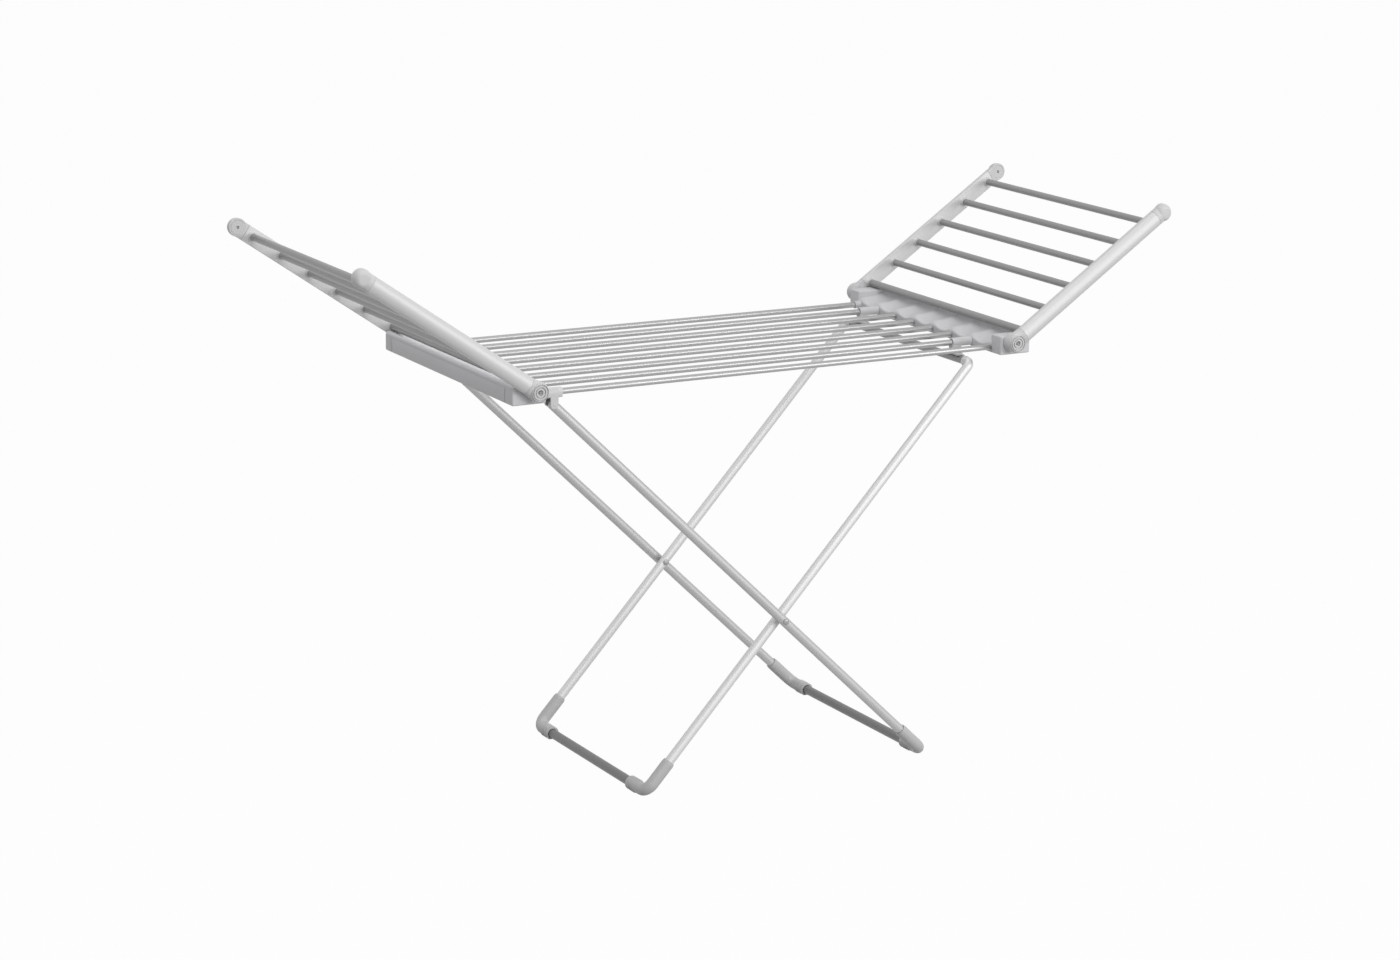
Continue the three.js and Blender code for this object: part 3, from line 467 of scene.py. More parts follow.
def make(name, surfaces, finish, body, nodes=None, edge=0.0):
    """One mesh object from surfaces, welded, facing outwards, with a finish, riding on its body."""
    counts = np.cumsum([0] + [len(s["points"]) for s in surfaces])
    points = np.vstack([s["points"] for s in surfaces]) * MM
    grain = np.vstack([s["grain"] for s in surfaces]) * MM
    faces = [[i + int(start) for i in face]
             for s, start in zip(surfaces, counts) for face in s["faces"]]
    mesh = bpy.data.meshes.new(name)
    mesh.from_pydata(points, [], faces)
    attribute = mesh.attributes.new("grain", "FLOAT_VECTOR", "POINT")
    attribute.data.foreach_set("vector", grain.ravel())
    work = bmesh.new()
    work.from_mesh(mesh)
    bmesh.ops.remove_doubles(work, verts=work.verts, dist=0.002 * MM)
    bmesh.ops.recalc_face_normals(work, faces=work.faces)
    work.to_mesh(mesh)
    work.free()
    mesh.polygons.foreach_set("use_smooth", np.ones(len(mesh.polygons), bool))
    mesh.set_sharp_from_angle(angle=SHARP_ANGLE)
    mesh.materials.append(finish)
    piece = bpy.data.objects.new(name, mesh)
    bpy.context.scene.collection.objects.link(piece)
    if edge:
        bevel = piece.modifiers.new("edge", "BEVEL")
        bevel.width = edge * MM
        bevel.segments = 2
        bevel.limit_method = "ANGLE"
        bevel.angle_limit = SHARP_ANGLE
        bevel.harden_normals = True
    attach(piece, body)
    if nodes:
        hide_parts(*nodes)
    return piece


def fine(name, surfaces, finish, body, slot, edge=0.0):
    """An object that replaces the frame's node of the same name."""
    return make(f"fine_{name}", surfaces, finish, body, [name], edge)


# Finishes: scales are per metre, and distances in metres

class Value:
    """A number from a shader socket. Python's operators on it add Math nodes."""

    def __init__(self, finish, socket):
        self.finish, self.socket = finish, socket

    def math(self, operation, *others):
        inputs = dict(enumerate((self,) + others))
        return self.finish.node("ShaderNodeMath", {"operation": operation}, inputs)[0]

    def __add__(self, other):
        return self.math("ADD", other)

    def __mul__(self, other):
        return self.math("MULTIPLY", other)

    def __sub__(self, other):
        return self.math("SUBTRACT", other)


class Finish:
    """A material, or the world, whose nodes are added one by one."""

    def __init__(self, owner):
        self.owner = owner
        owner.use_nodes = True
        self.tree = owner.node_tree
        self.tree.nodes.clear()

    def node(self, kind, settings=None, inputs=None):
        """Adds a node. Its settings come first, then the values or links of its sockets. Returns
        its outputs as Values."""
        node = self.tree.nodes.new(kind)
        for key, value in (settings or {}).items():
            if key == "stops":
                ramp = node.color_ramp
                for i, (position, grey) in enumerate(value):
                    stop = ramp.elements[i] if i < 2 else ramp.elements.new(position)
                    stop.position, stop.color = position, (grey, grey, grey, 1)
            else:
                setattr(node, key, value)
        for key, value in (inputs or {}).items():
            if isinstance(value, Value):
                self.tree.links.new(value.socket, node.inputs[key])
            else:
                node.inputs[key].default_value = value
        return [Value(self, socket) for socket in node.outputs]

    def noise(self, vector, scale, detail=2.0, roughness=0.5):
        return self.node("ShaderNodeTexNoise", {}, {"Vector": vector, "Scale": scale,
                                                    "Detail": detail, "Roughness": roughness})[0]

    def stretched(self, vector, factors):
        return self.node("ShaderNodeVectorMath", {"operation": "MULTIPLY"},
                         {0: vector, 1: factors})[0]

    def mix(self, factor, first, second):
        """A colour between two."""
        return self.node("ShaderNodeMix", {"data_type": "RGBA"},
                         {0: factor, 6: first, 7: second})[2]

    def bump(self, height, distance, strength):
        return self.node("ShaderNodeBump", {}, {"Strength": strength, "Distance": distance,
                                                "Height": height})[0]

    def surface(self, inputs):
        shader = self.node("ShaderNodeBsdfPrincipled", {}, inputs)[0]
        self.node("ShaderNodeOutputMaterial", {}, {"Surface": shader})
        return self.owner


def grey(value, blue=0.0):
    """A linear colour from a display grey of 0 to 255, with a little blue or lavender if asked."""
    level = ((value / 255 + 0.055) / 1.055) ** 2.4
    return (level * (1 - 0.35 * blue), level * (1 - 0.5 * blue), level * (1 + blue), 1)


def drawn_metal(name, dark, light, metallic, roughness, blue=0.0):
    """Drawn or extruded aluminium: fine streaks along the piece, slow clouding, and a satin gloss
    that changes a little with both."""
    finish = Finish(bpy.data.materials.new(name))
    grain = finish.node("ShaderNodeAttribute", {"attribute_name": "grain"})[1]
    streaks = finish.noise(finish.stretched(grain, (30, 2600, 2600)), 1.0, 3.0, 0.6)
    fine = finish.noise(finish.stretched(grain, (160, 7000, 7000)), 1.0, 1.0)
    clouds = finish.noise(finish.stretched(grain, (9, 60, 60)), 1.0, 2.0)
    tone = finish.node("ShaderNodeMath", {"operation": "ADD", "use_clamp": True},
                       {0: streaks * 0.6 + clouds * 0.5 - 0.12, 1: fine * 0.1})[0]
    return finish.surface({
        "Base Color": finish.mix(tone, grey(dark, blue), grey(light, blue)),
        "Metallic": metallic,
        "Roughness": (streaks - 0.5) * 0.04 + clouds * 0.05 + (roughness - 0.025),
        "Normal": finish.bump(streaks, 0.000003, 0.05),
    })


def moulded(name, dark, light, roughness, blue=0.0, grain_size=0.45):
    """Moulded plastic: a fine spark-eroded grain in the bump and roughness, and slow clouding."""
    finish = Finish(bpy.data.materials.new(name))
    place = finish.node("ShaderNodeTexCoord")[3]
    pits = finish.noise(place, 1 / (grain_size * MM), 3.0, 0.65)
    clouds = finish.noise(place, 14.0, 3.0)
    specks = finish.noise(place, 900.0, 1.0)
    tone = finish.node("ShaderNodeMath", {"operation": "ADD", "use_clamp": True},
                       {0: clouds * 0.8 + pits * 0.25, 1: specks * 0.1 - 0.1})[0]
    return finish.surface({
        "Base Color": finish.mix(tone, grey(dark, blue), grey(light, blue)),
        "Roughness": (pits - 0.5) * 0.15 + clouds * 0.1 + (roughness - 0.05),
        "Specular IOR Level": 0.45,
        "Normal": finish.bump(pits, 0.00004, 0.3),
    })


rod_finish = drawn_metal("drawn aluminium rod", 166, 174, 0.9, 0.4)
rung_finish = drawn_metal("satin rung tube", 140, 160, 0.42, 0.42)
rail_finish = drawn_metal("satin anodised rail", 206, 214, 0.22, 0.52)
leg_finish = drawn_metal("drawn aluminium leg", 186, 194, 0.5, 0.48)
# Painted light: the inner legs get a lighter copy of the same leg aluminium, standing in for the
# brighter light that falls on them.
inner_leg_painted_light_finish = drawn_metal("drawn aluminium leg with painted light", 210, 218, 0.5, 0.5)
foot_finish = drawn_metal("dark foot tube", 108, 134, 0.4, 0.42)
zinc_finish = drawn_metal("zinc plated rivet", 150, 172, 0.6, 0.42)
bar_finish = moulded("end bar plastic", 206, 218, 0.5, 0.02)
pale_finish = moulded("pale grey plastic", 204, 214, 0.48, 0.01)
elbow_finish = moulded("foot elbow plastic", 186, 196, 0.46, 0.01)
nylon_finish = moulded("terminal nylon", 222, 232, 0.4)
switch_finish = moulded("black switch plastic", 34, 44, 0.32, 0.0, 0.3)


def cable_jacket():
    """Heat-resistant braid under varnish: two crossed sets of fine ribs and slow clouding."""
    finish = Finish(bpy.data.materials.new("heating cable jacket"))
    place = finish.node("ShaderNodeTexCoord")[3]
    ribs = [finish.node("ShaderNodeTexWave", {"bands_direction": "DIAGONAL"},
                        {"Vector": finish.stretched(place, way), "Scale": 500.0,
                         "Distortion": 1.0})[1]
            for way in ((1, 1, 1), (1, -1, 1))]
    weave = ribs[0] * ribs[1]
    clouds = finish.noise(place, 60.0, 3.0)
    return finish.surface({
        "Base Color": finish.mix(clouds, (0.21, 0.035, 0.024, 1), (0.33, 0.06, 0.045, 1)),
        "Roughness": weave * 0.2 + 0.5,
        "Normal": finish.bump(weave, 0.0002, 0.6),
    })


jacket_finish = cable_jacket()


# Deck rods

for index, y in enumerate(ROD_Y):
    rod = tube((-ROD_END, y, ROD_Z), (ROD_END, y, ROD_Z), ROD_RADIUS, ROD_WALL)
    fine(f"deck_rod_{index + 1}", [rod], rod_finish, "deck", "rod_aluminium")


# End bars

def edge_drop(distance, radius):
    """How far a rounded edge drops: radius - sqrt(radius^2 - (radius - distance)^2)."""
    from_centre = radius - np.clip(distance, 0, radius)
    return radius - np.sqrt(radius ** 2 - from_centre ** 2)


def cover_form(x, y):
    """The cover's height: a slow slope plus a steep scoop up to the rim, less valleys between the
    rods that follow a cosine, plus ridges at the rods that rise behind a rounded nose. Valleys and
    ridges die out towards the rim. The rounded shoulder over the inner wall and the rim's rounded
    edge come off."""
    across = np.clip((x - BAR_INNER_X) / (BAR_OUTER_X - COVER_RIM - BAR_INNER_X), 0, 1)
    crest = (BAR_TOP - COVER_SLOPE - COVER_SCOOP + COVER_SLOPE * across
             + COVER_SCOOP * across ** COVER_SCOOP_POWER)
    wave = (1 - np.cos(2 * math.pi * (y - ROD_Y[0]) / ROD_PITCH)) / 2
    before_top = 1 - np.minimum(across / RIDGE_NOSE, 1)
    ridge = RIDGE_RISE * (1 - before_top ** 2) * (1 - wave) ** RIDGE_POWER - RIDGE_HEIGHT * wave
    shoulder = edge_drop(x - BAR_INNER_X, SHOULDER_RADIUS) * SHOULDER_DROP / SHOULDER_RADIUS
    rim = edge_drop(BAR_OUTER_X - x, COVER_RIM)
    return crest + ridge * (1 - across ** RIDGE_FADE) - shoulder - rim


def end_cover():
    """A thin shell that follows the cover's form."""
    nose = COVER_NOSE * (1 - np.cos(np.linspace(0, 0.5 * math.pi, 6)))
    rim = COVER_RIM * (1 - np.cos(np.linspace(0.5 * math.pi, 0, 10)))
    middle = np.linspace(BAR_INNER_X + COVER_NOSE, BAR_OUTER_X - COVER_RIM, COVER_COLUMNS)[1:-1]
    x = np.concatenate([BAR_INNER_X + nose, middle, BAR_OUTER_X - rim])
    reach = COVER_END_Y - GAP
    xs, ys = np.meshgrid(x, np.linspace(-reach, reach, COVER_ROWS))
    form = cover_form(xs, ys)
    return slab(xs, ys, form - COVER_WALL, form - edge_drop(xs - BAR_INNER_X, COVER_NOSE))


def channel():
    """The open channel under the cover: its section goes down the inner wall, round the bottom, up
    the outer wall and back inside, and both wall tops follow the cover's form."""
    reach = COVER_END_Y + 1
    y = np.linspace(-reach, reach, CHANNEL_ROWS)
    inner, outer = BAR_INNER_X + BAR_WALL, BAR_OUTER_X - BAR_WALL
    floor, low = BAR_BOTTOM + BAR_WALL, BAR_BOTTOM + BAR_EDGE
    left = arc((BAR_INNER_X + BAR_EDGE, low), BAR_EDGE, math.pi, 1.5 * math.pi, 6)
    right = arc((BAR_OUTER_X - BAR_EDGE, low), BAR_EDGE, 1.5 * math.pi, 2 * math.pi, 6)

    def column(x, z):
        return np.stack(np.broadcast_arrays(x, z, y), axis=-1)[:, None, :2]

    def wall_top(x):
        return column(x, cover_form(np.full_like(y, x), y) - COVER_WALL - GAP)

    around = [wall_top(BAR_INNER_X)]
    around += [column(px, pz) for px, pz in np.vstack([left, right])]
    around += [wall_top(BAR_OUTER_X), wall_top(outer), column(outer, floor), column(inner, floor),
               wall_top(inner)]
    return lofted(np.concatenate(around, axis=1), y)


def socket(y):
    """A collar on the inner wall round a rod, with a rounded mouth."""
    root, mouth, hole = BAR_INNER_X + 1, BAR_INNER_X - SOCKET_LENGTH, ROD_RADIUS + GAP
    rows = [(root, SOCKET_RADIUS), (mouth, SOCKET_RADIUS), (mouth, hole), (root, hole)]
    return turned(rounded_rows(rows, SOCKET_EDGE), (0, y, ROD_Z), (1, 0, 0), SMALL_ROUND, loop=True)


def cut_out(piece, surfaces):
    """Cuts closed surfaces out of a piece with a Boolean, and applies it."""
    for surface in surfaces:
        cutter = make(f"{piece.name}_cutter", [surface], bar_finish, "deck")
        modifier = piece.modifiers.new("cut", "BOOLEAN")
        modifier.operation, modifier.solver, modifier.object = "DIFFERENCE", "EXACT", cutter
        depsgraph = bpy.context.evaluated_depsgraph_get()
        mesh = bpy.data.meshes.new_from_object(piece.evaluated_get(depsgraph))
        piece.modifiers.clear()
        piece.data = mesh
        bpy.data.objects.remove(cutter)


def end_bar(side):
    """One end bar: the channel, two end blocks and the rod collars, and a cover over it."""
    mirror = (lambda s: s) if side == "right" else (lambda s: mirrored(s, 0))
    held = HOOK_RODS if side == "right" else BRACKET_RODS
    parts = [channel()]
    radii = (BAR_EDGE, BAR_EDGE, COVER_RIM, COVER_NOSE + 1)
    for sign in (-1, 1):
        low, high = sorted((sign * (COVER_END_Y - BLOCK_EDGE), sign * BAR_END_Y))
        parts.append(round_block((BAR_INNER_X, low, BAR_BOTTOM), (BAR_OUTER_X, high, BAR_TOP), radii,
                                 BLOCK_EDGE))
    parts += [socket(y) for i, y in enumerate(ROD_Y) if i not in held]
    if side == "right":
        start, end = BAR_OUTER_X - 1, BAR_OUTER_X + INLET_COLLAR_LENGTH
        rows = [(start, 0), (start, INLET_COLLAR_RADIUS), (end, INLET_COLLAR_RADIUS), (end, 0)]
        rows = rounded_rows(rows, SOCKET_EDGE)
        parts.append(turned(rows, (0, INLET_Y, ROD_Z), (1, 0, 0), SMALL_ROUND))
    base = fine(f"{side}_end_base", [mirror(part) for part in parts], bar_finish, "deck",
                "end_bar_plastic")
    fine(f"{side}_end_cover", [mirror(end_cover())], bar_finish, "deck", "end_bar_plastic")
    return base


end_bar("left")
right_base = end_bar("right")


# Wings

def rail_loop(inset, inner_y=RAIL_INNER_Y, half=RAIL_HALF_HEIGHT,
              outer_y=RAIL_INNER_Y + RAIL_DEPTH):
    """The rail's section as (Y, Z) points: flat inside, with top and bottom flats that run into a
    half ellipse outside."""
    bend = min(RAIL_INNER_Y + RAIL_FLAT, outer_y - 1)
    t = np.linspace(-0.5 * math.pi, 0.5 * math.pi, 27)
    curve = np.column_stack([bend + (outer_y - bend - inset) * np.cos(t),
                             (half - inset) * np.sin(t)])
    edge_y = inner_y + inset + RAIL_EDGE
    low = arc((edge_y, -half + inset + RAIL_EDGE), RAIL_EDGE, math.pi, 1.5 * math.pi, 3)
    high = arc((edge_y, half - inset - RAIL_EDGE), RAIL_EDGE, 0.5 * math.pi, math.pi, 3)
    return np.vstack([low, curve, high])


def along_x(loops, xs, hollow=False):
    """Loops of (Y, Z) points set at stations along X and joined, with flat ends or closed to a
    hollow ring."""
    loops = np.asarray(loops, float)
    xs = np.broadcast_to(np.asarray(xs, float)[:, None], loops.shape[:2])
    points = np.stack([xs, loops[..., 0], loops[..., 1]], axis=-1)
    return grid(points, points.copy(), loop_rows=hollow, capped=not hollow)


def rail():
    """The rail: its section goes from the bore out over one rim, along, and back over the other."""
    start, end = NECK_LENGTH + GAP, WING_LENGTH - CAP_NECK_LENGTH - GAP
    loops = [rail_loop(inset) for inset in (RAIL_WALL, TUBE_EDGE, 0, 0, TUBE_EDGE, RAIL_WALL)]
    stations = [start, start, start + TUBE_EDGE, end - TUBE_EDGE, end, end]
    return [along_x(loops, stations, hollow=True)]


def rung_x(index):
    return RUNG_END + index * RUNG_PITCH


def rung_radius(index):
    return FIRST_RUNG_RADIUS if index == 0 else RUNG_RADIUS


def rung_collar(index):
    """A flare round a rung's root: it widens towards the rail's inner face by
    FLARE_RISE (1 - cos a)."""
    radius, root = rung_radius(index) + 0.1, RAIL_INNER_Y + 0.5
    a = np.linspace(0, 0.5 * math.pi, 9)
    rows = list(zip(RAIL_INNER_Y - FLARE_LENGTH * (1 - np.sin(a)),
                    radius + FLARE_EDGE + FLARE_RISE * (1 - np.cos(a))))
    rows += [(root, radius + FLARE_EDGE + FLARE_RISE), (root, radius),
             (RAIL_INNER_Y - FLARE_LENGTH, radius)]
    return turned(rows, (rung_x(index), 0, 0), (0, 1, 0), SMALL_ROUND, loop=True)


def neck(xs, halves, depths, inner_y=RAIL_INNER_Y):
    """A neck from a drum to the rail: the rail's section while half height and depth change."""
    loops = [rail_loop(0, inner_y, half, depth) for half, depth in zip(halves, depths)]
    return along_x(loops, xs)


def spigot(start, end):
    """The part of a knuckle or cap that plugs into the rail."""
    return along_x([rail_loop(RAIL_WALL + GAP)] * 2, [start, end])


def knuckle():
    """The knuckle: a drum that turns on the pivot, and a neck that fairs into the rail."""
    outer = HINGE_FACE_Y - DISC_THICKNESS - GAP
    bore = PIVOT_RADIUS + RUNNING_GAP
    rows = [(outer, bore), (outer, KNUCKLE_RADIUS), (KNUCKLE_INNER_Y, KNUCKLE_RADIUS),
            (KNUCKLE_INNER_Y, bore)]
    drum = turned(rounded_rows(rows, KNUCKLE_EDGE), (0, 0, 0), (0, 1, 0), loop=True)
    u = np.linspace(0, 1, 14)
    ease = 0.5 - 0.5 * np.cos(math.pi * u)
    xs = KNUCKLE_NECK_X + (NECK_LENGTH - KNUCKLE_NECK_X) * u
    halves = KNUCKLE_NECK_HALF + (RAIL_HALF_HEIGHT - KNUCKLE_NECK_HALF) * ease
    depths = outer - 0.6 + (RAIL_INNER_Y + RAIL_DEPTH - outer + 0.6) * ease
    return [drum, neck(xs, halves, depths), spigot(NECK_LENGTH - 1, NECK_LENGTH + SPIGOT_LENGTH)]


def outer_cap():
    """The outer cap: a drum domed like the rail, with a hole and a ring groove in its inner face,
    and a neck."""
    inner, outer = RAIL_INNER_Y, RAIL_INNER_Y + RAIL_DEPTH
    t = np.linspace(0, 0.5 * math.pi, 13)
    hole = inner + CAP_HOLE_DEPTH
    rows = [(hole, 0), (hole, CAP_HOLE_RADIUS), (inner, CAP_HOLE_RADIUS), (inner, CAP_RING_RADIUS),
            (inner + CAP_EDGE, CAP_RING_RADIUS + CAP_RING_WIDTH / 2),
            (inner, CAP_RING_RADIUS + CAP_RING_WIDTH), (inner, CAP_RADIUS - CAP_EDGE),
            (inner + CAP_EDGE, CAP_RADIUS)]
    rows += list(zip(inner + RAIL_FLAT + (RAIL_DEPTH - RAIL_FLAT) * np.sin(t),
                     CAP_FACE_RADIUS + (CAP_RADIUS - CAP_FACE_RADIUS) * np.cos(t)))
    rows += [(outer, 0)]
    drum = turned(rows, (WING_LENGTH, 0, 0), (0, 1, 0))
    end = WING_LENGTH - CAP_NECK_LENGTH
    xs = np.linspace(end, WING_LENGTH - 4, 8)
    return [drum, neck(xs, [RAIL_HALF_HEIGHT] * 8, [outer - 0.2] * 8, inner + 0.2),
            spigot(end + 1, end - SPIGOT_LENGTH)]


def wing_pivot():
    """The pivot: a hollow pin with a head inside the bar and a ringed disc outside the knuckle."""
    face, back = HINGE_FACE_Y, HINGE_FACE_Y - DISC_THICKNESS
    head = PIVOT_HEAD_Y - PIVOT_HEAD_THICKNESS
    rows = [(head, PIVOT_BORE), (head, PIVOT_HEAD_RADIUS), (PIVOT_HEAD_Y, PIVOT_HEAD_RADIUS),
            (PIVOT_HEAD_Y, PIVOT_RADIUS), (back, PIVOT_RADIUS), (back, DISC_RADIUS),
            (face - DISC_EDGE, DISC_RADIUS), (face - DISC_EDGE / 3, DISC_RADIUS - DISC_EDGE / 3),
            (face, DISC_RADIUS - DISC_EDGE)]
    for radius in reversed(DISC_RINGS):
        outer, floor = radius + RING_WIDTH, face - RING_DEPTH
        rows += [(face, outer + 0.1), (floor, outer - 0.1), (floor, radius + 0.1),
                 (face, radius - 0.1)]
    rows += [(face, MOUTH_RADIUS + 0.5), (face - 0.5, MOUTH_RADIUS),
             (face - MOUTH_DEPTH, MOUTH_RADIUS), (face - MOUTH_DEPTH, PIVOT_BORE)]
    return [turned(rows, (HINGE_X, 0, HINGE_Z), (0, 1, 0), loop=True)]


def pivot_pin():
    """A metal pin in the pivot's bore, thinner and domed where it shows in the pivot's mouth."""
    t = np.linspace(0, 0.5 * math.pi, 7)
    tail, step = PIVOT_HEAD_Y - 2, HINGE_FACE_Y - MOUTH_DEPTH - 0.5
    rows = [(tail, 0), (tail, PIVOT_BORE), (step, PIVOT_BORE), (step + 0.6, PIN_RADIUS)]
    rows += list(zip(HINGE_FACE_Y - PIN_SINK + PIN_DOME * np.sin(t), PIN_RADIUS * np.cos(t)))
    return [turned(rows, (HINGE_X, 0, HINGE_Z), (0, 1, 0), SMALL_ROUND)]


along_wing = on_slope((HINGE_X, HINGE_Z), (math.cos(WING_ANGLE), math.sin(WING_ANGLE)))


def unmoved(points):
    return points


def wing(side):
    """One wing with its hinges. The left one is the right one seen in a mirror."""
    body = f"{side}_wing"

    def placed(surfaces, sign, change):
        surfaces = [mirrored(s, 1) if sign < 0 else s for s in surfaces]
        surfaces = [moved(s, change) for s in surfaces]
        return [mirrored(s, 0) if side == "left" else s for s in surfaces]

    for end, sign in ENDS:
        fine(f"{side}_wing_knuckle_{end}", placed(knuckle(), sign, along_wing), pale_finish, body,
             "pale_plastic", KNUCKLE_BEVEL)
        fine(f"{side}_wing_cap_{end}", placed(outer_cap(), sign, along_wing), pale_finish, body,
             "pale_plastic")
        fine(f"{side}_wing_rail_{end}", placed(rail(), sign, along_wing), rail_finish, body,
             "rail_aluminium")
        fine(f"{side}_wing_pivot_{end}", placed(wing_pivot(), sign, unmoved), pale_finish, "deck",
             "pale_plastic")
        make(f"{side}_wing_pin_{end}", placed(pivot_pin(), sign, unmoved), zinc_finish, "deck")
        collars = [rung_collar(index) for index in range(RUNG_COUNT)]
        make(f"{side}_wing_rung_collars_{end}", placed(collars, sign, along_wing), rail_finish,
             body)
    reach = RAIL_INNER_Y + RAIL_WALL - GAP
    for index in range(RUNG_COUNT):
        x = rung_x(index)
        rung = tube((x, -reach, 0), (x, reach, 0), rung_radius(index), RUNG_WALL)
        fine(f"{side}_wing_rung_{index + 1}", placed([rung], 1, along_wing), rung_finish, body,
             "rung_aluminium")


wing("left")
wing("right")


# Legs

outer_way = unit(np.subtract(OUTER_FOOT, OUTER_PIVOT))
inner_way = unit(np.subtract(INNER_TOP, INNER_FOOT))
outer_length = float(np.linalg.norm(np.subtract(OUTER_FOOT, OUTER_PIVOT)))
between = np.subtract(INNER_FOOT, OUTER_PIVOT)
rivet_along = float((between[0] * inner_way[1] - between[1] * inner_way[0])
                    / (outer_way[0] * inner_way[1] - outer_way[1] * inner_way[0]))
rivet_place = np.add(OUTER_PIVOT, outer_way * rivet_along)
inner_top = float(np.linalg.norm(np.subtract(INNER_TOP, rivet_place)))
inner_foot = -float(np.linalg.norm(np.subtract(INNER_FOOT, rivet_place)))
along_outer = on_slope(OUTER_PIVOT, outer_way)
along_inner = on_slope(rivet_place, inner_way)


def outer_leg(sign):
    """A straight tube whose top end is rounded about the pivot: there X = -sqrt(radius^2 - Z^2)."""
    y = sign * OUTER_LEG_Y
    end = outer_length - ELBOW_LEG + ELBOW_LEG_BORE - GAP
    surface = tube((0, y, 0), (end, y, 0), LEG_RADIUS, LEG_WALL)
    points = surface["points"]
    start = points[:, 0] < 0.5
    points[start, 0] = -np.sqrt(np.maximum(LEG_RADIUS ** 2 - points[start, 2] ** 2, 0))
    return [surface]


def inner_leg(sign):
    """A tube that bends inwards at the top, with a rim round its mouth."""
    y = sign * INNER_LEG_Y
    start = inner_foot + ELBOW_LEG - ELBOW_LEG_BORE + GAP
    at = line([(start, y, 0), (inner_top, y, 0), (inner_top, y - sign * LEG_MOUTH, 0)], LEG_BEND)
    end, bore = at.length, LEG_RADIUS - LEG_WALL
    rows = [(0, bore), (0, LEG_RADIUS - TUBE_EDGE), (TUBE_EDGE, LEG_RADIUS),
            (end - LEG_RIM_LENGTH - LEG_RIM_EDGE, LEG_RADIUS),
            (end - LEG_RIM_LENGTH, LEG_RIM_RADIUS), (end - LEG_RIM_EDGE, LEG_RIM_RADIUS),
            (end, LEG_RIM_RADIUS - LEG_RIM_EDGE), (end, bore), (0, bore)]
    marks = [m for a, b in at.bends for m in np.linspace(a, b, 17)]
    return [swept(at, refined(rows, marks)[:-1], ROUND, (0, 0, 1), loop=True)]


def elbow(corner_x, y, leg_direction):
    """An elbow: a long collar on the leg with a stepped mouth, a bend, and a shorter collar on the
    foot tube with ribs and a rim round it."""
    inward = -np.sign(y)
    at = line([(corner_x + leg_direction * ELBOW_LEG, y, 0), (corner_x, y, 0),
               (corner_x, y + inward * ELBOW_FOOT, 0)], ELBOW_BEND)
    end = at.length
    leg_bore, foot_bore = LEG_RADIUS + GAP, FOOT_TUBE_RADIUS + GAP
    collar = end - ELBOW_COLLAR_LENGTH
    rows = [(ELBOW_LEG_BORE, 0), (ELBOW_LEG_BORE, leg_bore), (BORE_EDGE, leg_bore),
            (0, leg_bore + BORE_EDGE), (0, ELBOW_RADIUS - 1.2), (0.5, ELBOW_RADIUS - 0.7),
            (3.2, ELBOW_RADIUS - 0.5), (3.8, ELBOW_RADIUS)]
    rows += [(s, ELBOW_RADIUS) for s in np.linspace(6, collar - 1.5, 30)]
    rows += [(collar - 0.7, ELBOW_RADIUS), (collar, ELBOW_COLLAR_RADIUS)]
    u = np.linspace(0, 1, 7)
    for rib in range(ELBOW_RIB_COUNT):
        start = collar + ELBOW_RIB_INSET + rib * ELBOW_RIB_PITCH
        rows += list(zip(start + ELBOW_RIB_WIDTH * u,
                         ELBOW_COLLAR_RADIUS + ELBOW_RIB_HEIGHT * np.sin(math.pi * u)))
    rows += [(end - ELBOW_RIM_LENGTH - 0.8, ELBOW_COLLAR_RADIUS),
             (end - ELBOW_RIM_LENGTH, ELBOW_RIM_RADIUS), (end - ELBOW_RIM_EDGE, ELBOW_RIM_RADIUS),
             (end, ELBOW_RIM_RADIUS - ELBOW_RIM_EDGE), (end, foot_bore + BORE_EDGE),
             (end - BORE_EDGE, foot_bore), (end - ELBOW_FOOT_BORE, foot_bore),
             (end - ELBOW_FOOT_BORE, 0)]
    return [swept(at, rows, ELBOW_ROUND, (0, 0, 1))]


def leg_rivet(sign):
    """A rivet through both legs: a domed head outside, a spacer between the legs, a tail inside."""
    outside, inside = OUTER_LEG_Y + LEG_RADIUS + GAP, INNER_LEG_Y - LEG_RADIUS - GAP
    spacer = (INNER_LEG_Y + LEG_RADIUS + GAP, OUTER_LEG_Y - LEG_RADIUS - GAP)
    t = np.linspace(0, 0.5 * math.pi, 8)
    dome = list(zip(RIVET_HEAD_HEIGHT * np.sin(t), RIVET_HEAD_RADIUS * np.cos(t)))
    rows = [(inside - h, r) for h, r in reversed(dome)]
    rows += [(inside, RIVET_RADIUS), (spacer[0], RIVET_RADIUS), (spacer[0], SPACER_RADIUS),
             (spacer[1], SPACER_RADIUS), (spacer[1], RIVET_RADIUS), (outside, RIVET_RADIUS)]
    rows += [(outside + h, r) for h, r in dome]
    surface = turned(rows, (rivet_along, 0, 0), (0, 1, 0), SMALL_ROUND)
    return [surface if sign > 0 else mirrored(surface, 1)]


def on_floor(surface):
    """The surface with whatever is below the floor pressed up to it, so that it stands flat."""
    return moved(surface, lambda points: np.maximum(points, (-np.inf, -np.inf, 0)))


